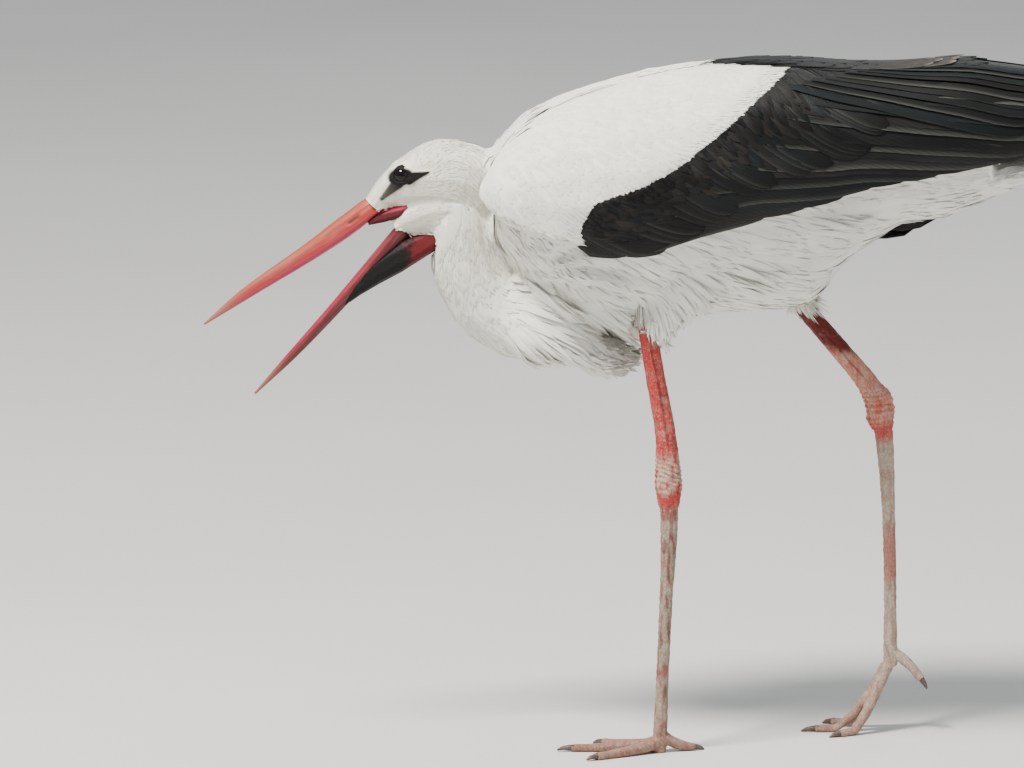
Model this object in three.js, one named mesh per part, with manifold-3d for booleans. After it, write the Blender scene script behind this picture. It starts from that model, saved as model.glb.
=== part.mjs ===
// A white stork (Ciconia ciconia) at life size, stalking with its head low and its bill open.
// Millimetres, +Z up. The bill points to -X and the bird's left side faces -Y.
// Every piece is a sweep of rings along a line, and neighbours are cut back from each other by CLEARANCE.

import * as THREE from "three";
import { mergeVertices } from "three/addons/utils/BufferGeometryUtils.js";
import Module from "manifold-3d";

const wasm = await Module();
wasm.setup();

// ---------------------------------------------------------------- driving dimensions

const CLEARANCE = 0.35; // between two neighbouring pieces
const LEFT = -1;
const RIGHT = 1;

const BILL_LENGTH = 166; // feather edge to tip, along the culmen
const WING_THICKNESS = 9; // folded feathers over the flank
const STANCE_HALF_WIDTH = 42; // midline to the middle of a foot

const BILL_BASE = { x: -259, z: 431 }; // where the forehead feathers meet the upper bill
const LOWER_BILL_SLOPE = THREE.MathUtils.degToRad(50);
const EYE = { x: -234.6, y: 11.3, z: 457.3, radius: 7.6 };

const LEFT_TOE_JOINT = { x: -32, z: 10 }; // flat on the ground
const RIGHT_TOE_JOINT = { x: 152.4, z: 58 }; // heel off, on the ends of the toes

// ---------------------------------------------------------------- small tools

const point = (x, z, y = 0) => new THREE.Vector3(x, y, z);

// A smooth function through [position, value] stations that never overshoots them.
function profile(stations) {
  const x = stations.map((s) => s[0]);
  const v = stations.map((s) => s[1]);
  const slope = x.slice(1).map((_, i) => (v[i + 1] - v[i]) / (x[i + 1] - x[i]));
  const tangent = v.map((_, i) => {
    if (i === 0) return slope[0];
    if (i === v.length - 1) return slope[i - 1];
    const [a, b] = [slope[i - 1], slope[i]];
    return a * b <= 0 ? 0 : (2 * a * b) / (a + b);
  });
  return (at) => {
    if (at <= x[0]) return v[0];
    if (at >= x[x.length - 1]) return v[v.length - 1];
    const i = x.findIndex((_, k) => at < x[k + 1]);
    const h = x[i + 1] - x[i];
    const t = (at - x[i]) / h;
    return (
      v[i] * (2 * t ** 3 - 3 * t ** 2 + 1) +
      v[i + 1] * (3 * t ** 2 - 2 * t ** 3) +
      h * tangent[i] * (t ** 3 - 2 * t ** 2 + t) +
      h * tangent[i + 1] * (t ** 3 - t ** 2)
    );
  };
}

// The same, for values spread evenly from 0 to 1.
const spread = (...values) => profile(values.map((v, i) => [i / (values.length - 1), v]));

// A closed skin over rings of the same number of points. Each ring runs anticlockwise seen from the next one.
function loft(rings) {
  const around = rings[0].length;
  const vertices = rings.flat();
  const index = [];
  for (let i = 0; i + 1 < rings.length; i++) {
    for (let k = 0; k < around; k++) {
      const next = (k + 1) % around;
      const [a, b] = [i * around + k, i * around + next];
      const [c, d] = [a + around, b + around];
      index.push(a, b, d, a, d, c);
    }
  }
  const last = (rings.length - 1) * around;
  for (const [ring, base, flip] of [[rings[0], 0, true], [rings[rings.length - 1], last, false]]) {
    for (const [a, b, c] of capTriangles(ring)) {
      index.push(base + a, base + (flip ? c : b), base + (flip ? b : c));
    }
  }
  const geometry = new THREE.BufferGeometry().setFromPoints(vertices);
  geometry.setIndex(index);
  return geometry;
}

// Triangles over a flat ring, in the ring's own turning direction.
function capTriangles(ring) {
  const normal = new THREE.Vector3();
  ring.forEach((p, k) => normal.add(p.clone().cross(ring[(k + 1) % ring.length])));
  normal.normalize();
  const across = ring[1].clone().sub(ring[0]);
  across.addScaledVector(normal, -across.dot(normal)).normalize();
  const up = normal.clone().cross(across);
  const flat = ring.map((p) => new THREE.Vector2(p.dot(across), p.dot(up)));
  return THREE.ShapeUtils.triangulateShape(flat, []);
}

// A sweep of superelliptic rings along a line. side, up and down are the ring's radii as functions of 0..1.
// Along a line towards +X, up is +Z. Along a line that goes down, up is +X, the bird's rear.
// turn shifts the ring's points by a share of one step, so that a half gives a toe a flat underside.
function sweep({ line, side, up, down = up, steps = 12, around = 16, power = 2, turn = 0, grow = 0, floor = null }) {
  const path = line.isCurve ? line : new THREE.CatmullRomCurve3(line);
  const rings = [];
  for (let i = 0; i <= steps; i++) {
    const t = i / steps;
    const forward = path.getTangentAt(t);
    const lateral = new THREE.Vector3(0, 1, 0);
    lateral.addScaledVector(forward, -lateral.dot(forward)).normalize();
    const rise = forward.clone().cross(lateral);
    const centre = path.getPointAt(t);
    if (i === 0) centre.addScaledVector(forward, -grow);
    if (i === steps) centre.addScaledVector(forward, grow);
    const ring = [];
    for (let k = 0; k < around; k++) {
      const angle = (2 * Math.PI * (k + turn)) / around;
      const bend = (v) => Math.sign(v) * Math.abs(v) ** (2 / power);
      const [c, s] = [bend(Math.cos(angle)), bend(Math.sin(angle))];
      const p = centre
        .clone()
        .addScaledVector(lateral, c * (side(t) + grow))
        .addScaledVector(rise, s * ((s > 0 ? up(t) : down(t)) + grow));
      if (floor !== null) p.z = Math.max(p.z, floor);
      ring.push(p);
    }
    rings.push(ring);
  }
  return loft(rings);
}

function solidOf(geometry) {
  const bare = geometry.clone();
  bare.deleteAttribute("normal");
  bare.deleteAttribute("uv");
  const merged = mergeVertices(bare, 1e-4);
  return new wasm.Manifold(
    new wasm.Mesh({
      numProp: 3,
      vertProperties: merged.attributes.position.array,
      triVerts: new Uint32Array(merged.index.array),
    }),
  );
}

function geometryOf(solid) {
  const { vertProperties, triVerts } = solid.getMesh();
  const geometry = new THREE.BufferGeometry();
  geometry.setAttribute("position", new THREE.BufferAttribute(vertProperties, 3));
  geometry.setIndex(new THREE.BufferAttribute(triVerts, 1));
  geometry.computeVertexNormals();
  return geometry;
}

// The largest body of a solid: cutting can leave crumbs beside it.
function mainBody(solid) {
  const { numProp, vertProperties, triVerts } = solid.getMesh();
  const group = Array.from({ length: vertProperties.length / numProp }, (_, i) => i);
  const rootOf = (i) => {
    while (group[i] !== i) i = group[i] = group[group[i]];
    return i;
  };
  for (let t = 0; t < triVerts.length; t += 3) {
    group[rootOf(triVerts[t])] = rootOf(triVerts[t + 1]);
    group[rootOf(triVerts[t + 1])] = rootOf(triVerts[t + 2]);
  }
  const corner = (i) => new THREE.Vector3().fromArray(vertProperties, triVerts[i] * numProp);
  const volumes = new Map();
  const triangles = new Map();
  for (let t = 0; t < triVerts.length; t += 3) {
    const body = rootOf(triVerts[t]);
    const sixfold = corner(t).dot(corner(t + 1).cross(corner(t + 2)));
    volumes.set(body, (volumes.get(body) ?? 0) + sixfold);
    if (!triangles.has(body)) triangles.set(body, []);
    triangles.get(body).push(...triVerts.subarray(t, t + 3));
  }
  const largest = [...volumes].sort((a, b) => b[1] - a[1])[0][0];
  const geometry = new THREE.BufferGeometry();
  geometry.setAttribute("position", new THREE.BufferAttribute(vertProperties, numProp));
  geometry.setIndex(triangles.get(largest));
  return solidOf(geometry.toNonIndexed());
}

const joined = (solids) => solids.reduce((sum, s) => sum.add(s));

// ---------------------------------------------------------------- body and wing outline, as functions of X

// Back of the folded wings, belly, half width, and the height at which the body is widest.
const backHeight = profile([
  [-177, 456], [-172, 470], [-166, 480], [-158, 489], [-146, 502], [-134, 512], [-110, 522], [-79, 532],
  [-47, 540.5], [0, 548], [60, 549.5], [130, 545], [160, 545], [190, 550], [218, 549],
  [240, 545], [330, 539], [390, 531], [424, 523],
]);
const bellyHeight = profile([
  [-177, 434], [-172, 418], [-164, 404], [-150, 386], [-118, 358], [-60, 334], [0, 343],
  [70, 347], [94, 355], [112, 378], [131, 402], [148, 413], [172, 419], [196, 421], [212, 428], [256, 449],
]);
const bodyHalfWidth = profile([
  [-177, 40], [-172, 56], [-165, 68], [-148, 81], [-118, 91], [-50, 99], [20, 97],
  [100, 84], [180, 67], [256, 52], [330, 37], [390, 21], [424, 7],
]);
const leftWingEdge = profile([
  [-177, 442], [-160, 430], [-130, 418], [-88, 411], [-50, 405], [-28, 408], [5, 426],
  [60, 439], [147, 461], [256, 481], [330, 496], [390, 514], [424, 519],
]);
// The right wing hangs a little open: its rear edge shows under the body.
const rightWingDroop = profile([
  [-10, 0], [60, 22], [100, 47], [117, 58], [148, 70], [164, 65], [196, 42], [256, 39], [330, 26], [400, 4], [424, 0],
]);
const wingEdge = (side) => (x) => leftWingEdge(x) - (side === RIGHT ? rightWingDroop(x) : 0);
const widestHeight = (x, edge) => Math.max(profile([[-172, 448], [0, 455], [100, 460]])(x), edge(x));

const upperFullness = profile([[-80, 2], [60, 2.25]]); // superellipse powers of the section, above its widest height
const LOWER_FULLNESS = 2; // and below it

// A point of the section at X, turned by an angle from -90 (belly) to 90 degrees (back), inset from the outline.
function sectionPoint(x, angle, edge, { sideInset = 0, topInset = 0, bottomInset = 0, side = RIGHT }) {
  const power = 2 / (angle > 0 ? upperFullness(x) : LOWER_FULLNESS);
  const level = widestHeight(x, edge);
  const height = angle > 0 ? backHeight(x) - topInset - level : level - bellyHeight(x) - bottomInset;
  const y = Math.max(bodyHalfWidth(x) - sideInset, 0.8) * Math.abs(Math.cos(angle)) ** power;
  const z = level + Math.sign(angle) * Math.max(height, 0.8) * Math.abs(Math.sin(angle)) ** power;
  return point(x, z, side * y);
}

// ---------------------------------------------------------------- trunk, neck, head, thighs and tail

const TRUNK = { from: -164, to: 232, stations: 14, around: 18 };

function trunkGeometry(grow = 0) {
  const rings = [];
  for (let i = 0; i <= TRUNK.stations; i++) {
    // closer stations at the blunt front
    const x = TRUNK.from + (TRUNK.to - TRUNK.from) * (i / TRUNK.stations) ** 1.35;
    const topInset = 3 + 7 * THREE.MathUtils.smoothstep(x, -150, -50) - grow;
    const inset = { sideInset: WING_THICKNESS - grow, topInset, bottomInset: -grow };
    const ring = [];
    for (let k = 0; k < TRUNK.around; k++) {
      const turn = (2 * Math.PI * k) / TRUNK.around;
      const onLeft = Math.cos(turn) < -1e-9;
      const angle = Math.asin(THREE.MathUtils.clamp(Math.sin(turn), -1, 1));
      ring.push(sectionPoint(x, angle, leftWingEdge, { ...inset, side: onLeft ? LEFT : RIGHT }));
    }
    rings.push(ring);
  }
  rings[0].forEach((p) => (p.x -= grow));
  rings[rings.length - 1].forEach((p) => (p.x += grow));
  return loft(rings);
}

const neckGeometry = (grow = 0) =>
  sweep({
    line: [point(-191, 447), point(-188, 420), point(-184, 390), point(-173, 358), point(-147, 337), point(-104, 335)],
    side: spread(20, 26, 28, 31, 38, 44),
    up: spread(24, 25, 30, 36, 38, 38),
    down: spread(20, 29, 31, 30, 30, 34),
    steps: 11,
    around: 12,
    grow,
  });

const breastGeometry = (grow = 0) =>
  sweep({
    line: [point(-160, 346), point(-126, 328), point(-98, 315), point(-72, 306), point(-58, 303)],
    side: spread(33, 48, 46, 34, 17),
    up: spread(44, 47, 36, 27, 17),
    down: spread(25, 28, 19, 10, 4),
    steps: 8,
    around: 12,
    grow,
  });

const skullGeometry = (grow = 0) =>
  sweep({
    line: [
      point(BILL_BASE.x, BILL_BASE.z), point(-249, 442), point(-237, 451),
      point(-213, 455), point(-189, 453), point(-167, 444),
    ],
    side: profile([[0, 11.5], [0.17, 14.5], [0.32, 18.5], [0.55, 22.5], [0.8, 23], [1, 20]]),
    up: profile([[0, 8], [0.17, 11], [0.32, 16.5], [0.45, 24], [0.57, 29.5], [0.8, 30], [1, 27]]),
    down: profile([[0, 8], [0.09, 11], [0.17, 17.5], [0.32, 25], [0.55, 28], [0.8, 32], [1, 30]]),
    steps: 10,
    around: 12,
    power: 2.15,
    grow,
  });

const cheekGeometry = (grow = 0) =>
  sweep({
    line: [point(-241.5, 414), point(-226, 423), point(-205, 430), point(-182, 428)],
    side: spread(10.5, 16.5, 20, 21),
    up: spread(7, 13, 16, 18),
    down: spread(7.5, 17, 24, 27),
    steps: 5,
    around: 12,
    power: 2.1,
    grow,
  });

const thighLine = {
  [LEFT]: [point(8, 425, -40), point(-14, 381, -46), point(-31, 350, -44), point(-39.5, 333, -43)],
  [RIGHT]: [point(22, 425, 40), point(50, 388, 46), point(74, 360, 44), point(88, 343, 43)],
};

const thighGeometry = (side, grow = 0) =>
  sweep({
    line: thighLine[side],
    side: spread(38, 31, 18, 9.5),
    up: spread(44, 33, 20, 10.5),
    down: spread(40, 31, 18, 10.5),
    steps: 6,
    around: 12,
    grow,
  });

const tailGeometry = (grow = 0) =>
  sweep({
    line: [point(188, 446), point(256, 462.5), point(316, 476), point(379, 487), point(386, 488)],
    side: profile([[0, 30], [0.4, 38], [0.95, 42], [1, 36]]),
    up: profile([[0, 16], [0.35, 9], [0.95, 3], [1, 1.2]]),
    down: profile([[0, 22], [0.35, 13], [0.65, 8], [0.95, 4], [1, 1.5]]),
    steps: 7,
    around: 12,
    power: 2.4,
    grow,
  });

// ---------------------------------------------------------------- bill, mouth and eyes

// A point at a distance in front of the bill's base, along a mandible's own slope, and above it.
function alongBill(base, slope, distance, above = 0) {
  const x = base.x - distance * Math.cos(slope) + above * -Math.sin(slope);
  const z = base.z - distance * Math.sin(slope) + above * Math.cos(slope);
  return point(x, z);
}

// The upper bill's line runs along its cutting edges, a quarter of the way up its depth.
const upperBillGeometry = (grow = 0) =>
  sweep({
    line: [
      point(-391.5, 336), point(-355.2, 360.3), point(-301.8, 394.3),
      point(-273, 414.7), point(-258.2, 426.4), point(-247, 435),
    ],
    side: profile([[0, 0.9], [0.25, 3.6], [0.6, 6.2], [0.8, 7.6], [0.92, 8.6], [1, 9]]),
    up: profile([[0, 0.8], [0.25, 6.9], [0.6, 10.2], [0.8, 12], [0.92, 11.7], [1, 9]]),
    down: profile([[0, 0.8], [0.25, 2.7], [0.6, 4], [0.8, 4.7], [0.92, 4.5], [1, 4]]),
    steps: 9,
    around: 10,
    power: 1.85,
    grow,
  });

const lowerBillRoot = { x: -240.5, z: 408.5 };

const lowerBillGeometry = (grow = 0) =>
  sweep({
    line: [
      alongBill(lowerBillRoot, LOWER_BILL_SLOPE, BILL_LENGTH + 3.5, 2.8),
      alongBill(lowerBillRoot, LOWER_BILL_SLOPE, BILL_LENGTH * 0.5, 0),
      alongBill(lowerBillRoot, LOWER_BILL_SLOPE, -8, 0),
    ],
    side: spread(0.9, 3.2, 5.2, 7.4, 9.6),
    up: spread(0.9, 2.4, 3, 3.4, 3.6),
    down: spread(0.9, 4.8, 6.6, 8.2, 9),
    steps: 9,
    around: 10,
    power: 1.9,
    grow,
  });

const throatSkinGeometry = (grow = 0) =>
  sweep({
    line: [point(-285, 349), point(-262, 371), point(-240, 384), point(-216, 398), point(-206, 404)],
    side: spread(3.5, 8, 10.5, 12, 12.5),
    up: spread(3, 9.5, 16, 17, 15),
    down: spread(1.2, 5.5, 8, 7, 6),
    steps: 5,
    around: 10,
    grow,
  });

const gapeGeometry = (grow = 0) =>
  sweep({
    line: [point(-262, 417.5), point(-247, 421.5), point(-229, 426.5)],
    side: spread(7, 10.5, 12),
    up: spread(4, 9, 10),
    down: spread(2.4, 3.2, 3.6),
    steps: 3,
    around: 10,
    grow,
  });

function eyeGeometry(side, grow = 0) {
  const ball = new THREE.SphereGeometry(EYE.radius + grow, 10, 6);
  ball.rotateX(Math.PI / 2);
  ball.translate(EYE.x, side * EYE.y, EYE.z);
  return ball;
}

// ---------------------------------------------------------------- wings

const WING = { from: -177, to: 424, stations: 15, across: 6 };
const wingTopGap = profile([[-177, 34], [-120, 20], [-40, 6], [10, CLEARANCE]]); // midline to the wing's inner edge

const WING_SLACK = 14; // the wing's edge hangs straighter than the belly curves
const wingDepth = profile([[-177, 36], [-158, 32], [-140, 15], [100, 14], [240, 8], [330, 5.5], [424, 2.5]]);

function wingGeometry(side, grow = 0) {
  const edge = wingEdge(side);
  const rings = [];
  for (let i = 0; i <= WING.stations; i++) {
    const x = WING.from + (WING.to - WING.from) * (i / WING.stations) ** 1.4; // closer at the blunt shoulder
    const level = widestHeight(x, edge);
    const halfWidth = bodyHalfWidth(x);
    const topAngle = Math.acos(Math.min((wingTopGap(x) - grow) / halfWidth, 0.95) ** (upperFullness(x) / 2));
    const slack = WING_SLACK + (side === RIGHT ? rightWingDroop(x) : 0);
    const fall = THREE.MathUtils.clamp((level - edge(x)) / Math.max(level - bellyHeight(x) + slack, 1), 0, 1);
    const edgeAngle = -Math.asin(fall ** (LOWER_FULLNESS / 2));
    const outer = [];
    const inner = [];
    for (let k = 0; k <= WING.across; k++) {
      const angle = THREE.MathUtils.lerp(topAngle, edgeAngle, k / WING.across);
      const thick = wingDepth(x);
      const out = { sideInset: -grow, topInset: -grow, bottomInset: -slack, side };
      const deep = { sideInset: thick + grow, topInset: thick + grow, bottomInset: -slack, side };
      outer.push(sectionPoint(x, angle, edge, out));
      inner.push(sectionPoint(x, angle, edge, deep));
    }
    // the inner surface of a thin rear section stays clear of the midline
    inner.forEach((p) => (p.y = side * Math.max(Math.abs(p.y), wingTopGap(x) - grow)));
    const ring = [...outer, ...inner.reverse()];
    rings.push(side === RIGHT ? ring.reverse() : ring);
  }
  return loft(rings);
}

// The wing is parted, seen from the side, along two lines that follow its feather tracts.
const whiteBorder = [[-89, 380], [-91, 430], [-83, 446], [-52, 456], [-23, 471], [11, 497], [44, 524], [69, 544], [88, 562]];
const covertTips = [[-22, 380], [-8, 422], [21, 440], [74, 465], [118, 484], [148, 503], [172, 526], [196, 562]];
const PRIMARY_START = [[262, 380], [284, 470], [318, 562]];

// Everything in front of a line of [x, z] points, as a slab through the wing on one side.
function slabInFront(border, shift, side) {
  const curve = new THREE.SplineCurve(border.map(([x, z]) => new THREE.Vector2(x + shift, z)));
  const outline = [new THREE.Vector2(-300, 380), ...curve.getPoints(8), new THREE.Vector2(-300, 562)];
  const slab = new THREE.ExtrudeGeometry(new THREE.Shape(outline), { depth: 140, bevelEnabled: false });
  slab.rotateX(Math.PI / 2); // the shape's Y becomes Z, and the depth runs to -Y
  if (side === RIGHT) slab.translate(0, 140, 0);
  return slab;
}

function wingTracts(side, blank) {
  const front = (border, shift) => solidOf(slabInFront(border, shift, side));
  const white = blank.intersect(front(whiteBorder, 0));
  const behindWhite = blank.subtract(front(whiteBorder, CLEARANCE));
  const coverts = behindWhite.intersect(front(covertTips, 0));
  const flight = behindWhite.subtract(front(covertTips, CLEARANCE));
  const secondaries = flight.intersect(front(PRIMARY_START, 0));
  const primaries = flight.subtract(front(PRIMARY_START, CLEARANCE));
  return { white, coverts, secondaries, primaries };
}

// ---------------------------------------------------------------- legs and feet

const STANCE = { [LEFT]: LEFT * STANCE_HALF_WIDTH, [RIGHT]: RIGHT * STANCE_HALF_WIDTH };
const toeJoint = { [LEFT]: LEFT_TOE_JOINT, [RIGHT]: RIGHT_TOE_JOINT };

// Side-on lines [x, z] of the bare leg. The tibia's piece ends below the swollen ankle joint.
const SHANK = {
  [LEFT]: {
    tibia: [[-43.2, 348], [-36, 303], [-27.5, 255], [-25.4, 224], [-24.8, 197]],
    tarsus: [[-24.7, 201], [-24.6, 172], [-26, 142], [-29, 75], [-32, -1]],
  },
  [RIGHT]: {
    tibia: [[78, 348], [92, 331], [115, 304], [133, 282], [143, 263], [146, 245]],
    tarsus: [[145.8, 249], [148.4, 219], [150.5, 178], [152, 120], [152.4, 53]],
  },
};

const shankSweep = (side, bone, shape, grow) =>
  sweep({
    line: SHANK[side][bone].map(([x, z]) => point(x, z, STANCE[side])),
    side: shape.side,
    up: shape.depth,
    steps: 9,
    around: 8,
    grow,
    floor: grow > 0 ? null : 0,
  });

const tibiaGeometry = (side, grow = 0) =>
  shankSweep(side, "tibia", {
    side: profile([[0, 7], [0.6, 7], [0.78, 8.4], [0.9, 10], [0.97, 9], [1, 7.2]]),
    depth: profile([[0, 7.6], [0.35, 7.9], [0.62, 8.4], [0.78, 10], [0.92, 11.4], [0.98, 9.4], [1, 8.4]]),
  }, grow);

const tarsusGeometry = (side, grow = 0) =>
  shankSweep(side, "tarsus", {
    side: profile([[0, 7], [0.1, 6.4], [0.3, 5.2], [0.82, 5], [0.92, 6.8], [0.97, 7.6], [1, 6.4]]),
    depth: profile([[0, 7.6], [0.08, 7.2], [0.18, 6.7], [0.32, 5.5], [0.82, 5.1], [0.92, 6.2], [0.97, 6.8], [1, 5.6]]),
  }, grow);

// One digit: its side-on line as [forward, height] points from the toe joint, and the heading of its toe in plan.
const DIGITS = {
  [LEFT]: {
    toe2: { heading: 31, line: [[4, 7.5], [14, 5], [34, 3.1], [52, 2.5]], claw: 9 },
    toe3: { heading: 2, line: [[4, 7.5], [16, 5], [44, 3.1], [70, 2.5]], claw: 11 },
    toe4: { heading: -33, line: [[4, 7.5], [15, 5], [38, 3.1], [60, 2.5]], claw: 9 },
    hallux: { heading: 165, line: [[4, 11.5], [12, 7], [22, 3.6], [29, 2.5]], claw: 8 },
  },
  [RIGHT]: {
    toe2: { heading: 29, line: [[3, 53], [11, 37], [23, 16], [33, 3], [47, 2]], claw: 9 },
    toe3: { heading: 2, line: [[3, 53], [12, 37], [27, 16], [41, 3], [60, 2.2]], claw: 11 },
    toe4: { heading: -31, line: [[3, 53], [12, 37], [25, 17], [37, 3.1], [53, 2.2]], claw: 9 },
    hallux: { heading: 168, line: [[-2, 66], [9, 60], [19, 51], [25, 43]], claw: 8 },
  },
};

// The heading is from straight ahead, positive towards the bird's midline.
function digitPoint(side, { heading }, [forward, height]) {
  const turn = THREE.MathUtils.degToRad(heading);
  const joint = toeJoint[side];
  return point(joint.x - forward * Math.cos(turn), height, STANCE[side] - side * forward * Math.sin(turn));
}

const TOE_PADS = 3; // swellings under the joints of a toe

const toeGeometry = (side, digit, grow = 0) =>
  sweep({
    line: digit.line.map((p) => digitPoint(side, digit, p)),
    side: (t) => THREE.MathUtils.lerp(5.6, 3.7, t) * (1 + 0.07 * Math.cos(2 * Math.PI * TOE_PADS * t)),
    up: (t) => THREE.MathUtils.lerp(5.2, 3.5, t) * (1 + 0.07 * Math.cos(2 * Math.PI * TOE_PADS * t)),
    steps: 5,
    around: 8,
    turn: 0.5,
    grow,
    floor: grow > 0 ? null : 0,
  });

const clawGeometry = (side, digit, grow = 0) => {
  const last = digit.line[digit.line.length - 1];
  const before = digit.line[digit.line.length - 2];
  const reach = Math.hypot(last[0] - before[0], last[1] - before[1]);
  const step = (share, drop) => {
    const forward = last[0] + ((last[0] - before[0]) / reach) * digit.claw * share;
    const height = last[1] + ((last[1] - before[1]) / reach) * digit.claw * share - drop;
    return digitPoint(side, digit, [forward, height]);
  };
  return sweep({
    line: [step(-0.3, -0.4), step(0.5, -0.5), step(1, 1.2)],
    side: spread(2.9, 2.6, 1),
    up: spread(2.7, 2.2, 0.8),
    steps: 3,
    around: 6,
    turn: 0.5,
    grow,
    floor: grow > 0 ? null : 0,
  });
};

// ---------------------------------------------------------------- assembly

const finish = {
  whiteFeather: { color: 0xe9e6da, roughness: 0.85, metalness: 0 },
  blackFeather: { color: 0x26262a, roughness: 0.55, metalness: 0 },
  bill: { color: 0xb8403a, roughness: 0.45, metalness: 0 },
  throatSkin: { color: 0x1c1715, roughness: 0.6, metalness: 0 },
  mouth: { color: 0x8c1f1c, roughness: 0.4, metalness: 0 },
  eye: { color: 0x14100e, roughness: 0.08, metalness: 0 },
  leg: { color: 0xc0584a, roughness: 0.65, metalness: 0 },
  claw: { color: 0x4a3a34, roughness: 0.5, metalness: 0 },
};

// Pieces in order of precedence: each is cut back from all the ones before it that it could touch.
const pieces = [];

function addPiece(name, look, geometry, grownGeometry, avoid = []) {
  const full = joined([geometry].flat().map(solidOf));
  const near = pieces.filter((p) => avoid.includes(p.name)).map((p) => p.grown);
  const solid = near.length ? mainBody(full.subtract(joined(near))) : full;
  pieces.push({ name, look, solid, grown: joined([grownGeometry].flat().map(solidOf)) });
}

const G = CLEARANCE;
const SIDES = [[LEFT, "left"], [RIGHT, "right"]];

addPiece("bill_upper", "bill", upperBillGeometry(), upperBillGeometry(G));
addPiece("bill_lower", "bill", lowerBillGeometry(), lowerBillGeometry(G));
for (const [side, word] of SIDES) {
  addPiece(`eye_${word}`, "eye", eyeGeometry(side), eyeGeometry(side, G));
}
addPiece("head", "whiteFeather", [skullGeometry(), cheekGeometry()], [skullGeometry(G), cheekGeometry(G)], [
  "bill_upper", "bill_lower", "eye_left", "eye_right",
]);
addPiece("throat_skin", "throatSkin", throatSkinGeometry(), throatSkinGeometry(G), ["bill_lower", "head"]);
addPiece("gape", "mouth", gapeGeometry(), gapeGeometry(G), ["bill_upper", "bill_lower", "head", "throat_skin"]);
addPiece("trunk", "whiteFeather", trunkGeometry(), trunkGeometry(G), ["head"]);
addPiece("neck", "whiteFeather", neckGeometry(), neckGeometry(G), ["head", "throat_skin", "gape", "trunk"]);
addPiece("breast_plumes", "whiteFeather", breastGeometry(), breastGeometry(G), ["neck", "trunk"]);
addPiece("tail", "whiteFeather", tailGeometry(), tailGeometry(G), ["trunk"]);

for (const [side, word] of SIDES) {
  const tarsus = `tarsus_${word}`;
  addPiece(tarsus, "leg", tarsusGeometry(side), tarsusGeometry(side, G));
  const toes = [];
  for (const [digitName, digit] of Object.entries(DIGITS[side])) {
    const claw = `claw_${digitName}_${word}`;
    const toe = `${digitName}_${word}`;
    addPiece(claw, "claw", clawGeometry(side, digit), clawGeometry(side, digit, G));
    addPiece(toe, "leg", toeGeometry(side, digit), toeGeometry(side, digit, G), [tarsus, claw, ...toes]);
    toes.push(toe);
  }
  addPiece(`tibia_${word}`, "leg", tibiaGeometry(side), tibiaGeometry(side, G), [tarsus, "trunk"]);
  addPiece(`thigh_${word}`, "whiteFeather", thighGeometry(side), thighGeometry(side, G), [
    `tibia_${word}`, "trunk", "breast_plumes",
  ]);
}

for (const [side, word] of SIDES) {
  const blockers = ["head", "neck", "breast_plumes", `thigh_${word}`, `tibia_${word}`, "trunk", "tail"];
  const grown = joined(pieces.filter((p) => blockers.includes(p.name)).map((p) => p.grown));
  const blank = mainBody(solidOf(wingGeometry(side)).subtract(grown));
  const tracts = wingTracts(side, blank);
  const named = {
    [`wing_coverts_${word}`]: ["whiteFeather", tracts.white],
    [`wing_greater_coverts_${word}`]: ["blackFeather", tracts.coverts],
    [`wing_secondaries_${word}`]: ["blackFeather", tracts.secondaries],
    [`wing_primaries_${word}`]: ["blackFeather", tracts.primaries],
  };
  for (const [name, [look, tract]] of Object.entries(named)) {
    pieces.push({ name, look, solid: mainBody(tract), grown: tract });
  }
}

const stork = new THREE.Group();
for (const { name, look, solid } of pieces) {
  const mesh = new THREE.Mesh(geometryOf(solid), new THREE.MeshStandardMaterial(finish[look]));
  mesh.name = name;
  stork.add(mesh);
}

// The origin is on the ground, under the middle of the bird's bounding box.
const bounds = new THREE.Box3().setFromObject(stork);
const middle = bounds.getCenter(new THREE.Vector3());
stork.position.set(-middle.x, -middle.y, -bounds.min.z);

export default stork;
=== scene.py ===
"""A white stork at life size: one skin over the solids, and feathers as closed vanes that lie along it.

Shapes are worked out in bird millimetres, the solids' own numbers before they were centred, and are
placed in the frame's metres by place(). The bill points to -X and the left side faces -Y.
"""
import itertools
import math

import bpy
import numpy as np
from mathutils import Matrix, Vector
from mathutils import noise as mathnoise
from mathutils.bvhtree import BVHTree
from mathutils.kdtree import KDTree


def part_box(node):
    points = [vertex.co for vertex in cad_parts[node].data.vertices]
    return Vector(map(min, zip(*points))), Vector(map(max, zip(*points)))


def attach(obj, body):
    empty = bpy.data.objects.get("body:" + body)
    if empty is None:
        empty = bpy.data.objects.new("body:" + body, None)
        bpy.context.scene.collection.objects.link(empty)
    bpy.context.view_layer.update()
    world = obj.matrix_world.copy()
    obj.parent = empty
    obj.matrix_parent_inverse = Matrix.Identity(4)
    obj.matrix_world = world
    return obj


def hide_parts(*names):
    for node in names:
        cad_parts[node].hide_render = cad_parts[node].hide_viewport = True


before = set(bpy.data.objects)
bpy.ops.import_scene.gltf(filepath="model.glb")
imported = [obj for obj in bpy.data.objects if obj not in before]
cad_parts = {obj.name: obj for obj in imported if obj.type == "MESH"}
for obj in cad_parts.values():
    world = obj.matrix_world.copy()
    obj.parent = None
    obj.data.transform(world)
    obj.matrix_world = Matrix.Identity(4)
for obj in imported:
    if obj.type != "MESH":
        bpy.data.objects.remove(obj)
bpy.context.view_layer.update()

MM = 0.001
LEFT, RIGHT = -1, 1
SIDES = {"left": LEFT, "right": RIGHT}
rng = np.random.default_rng(4465)

# ---------------------------------------------------------------- the bird's frame

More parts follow.
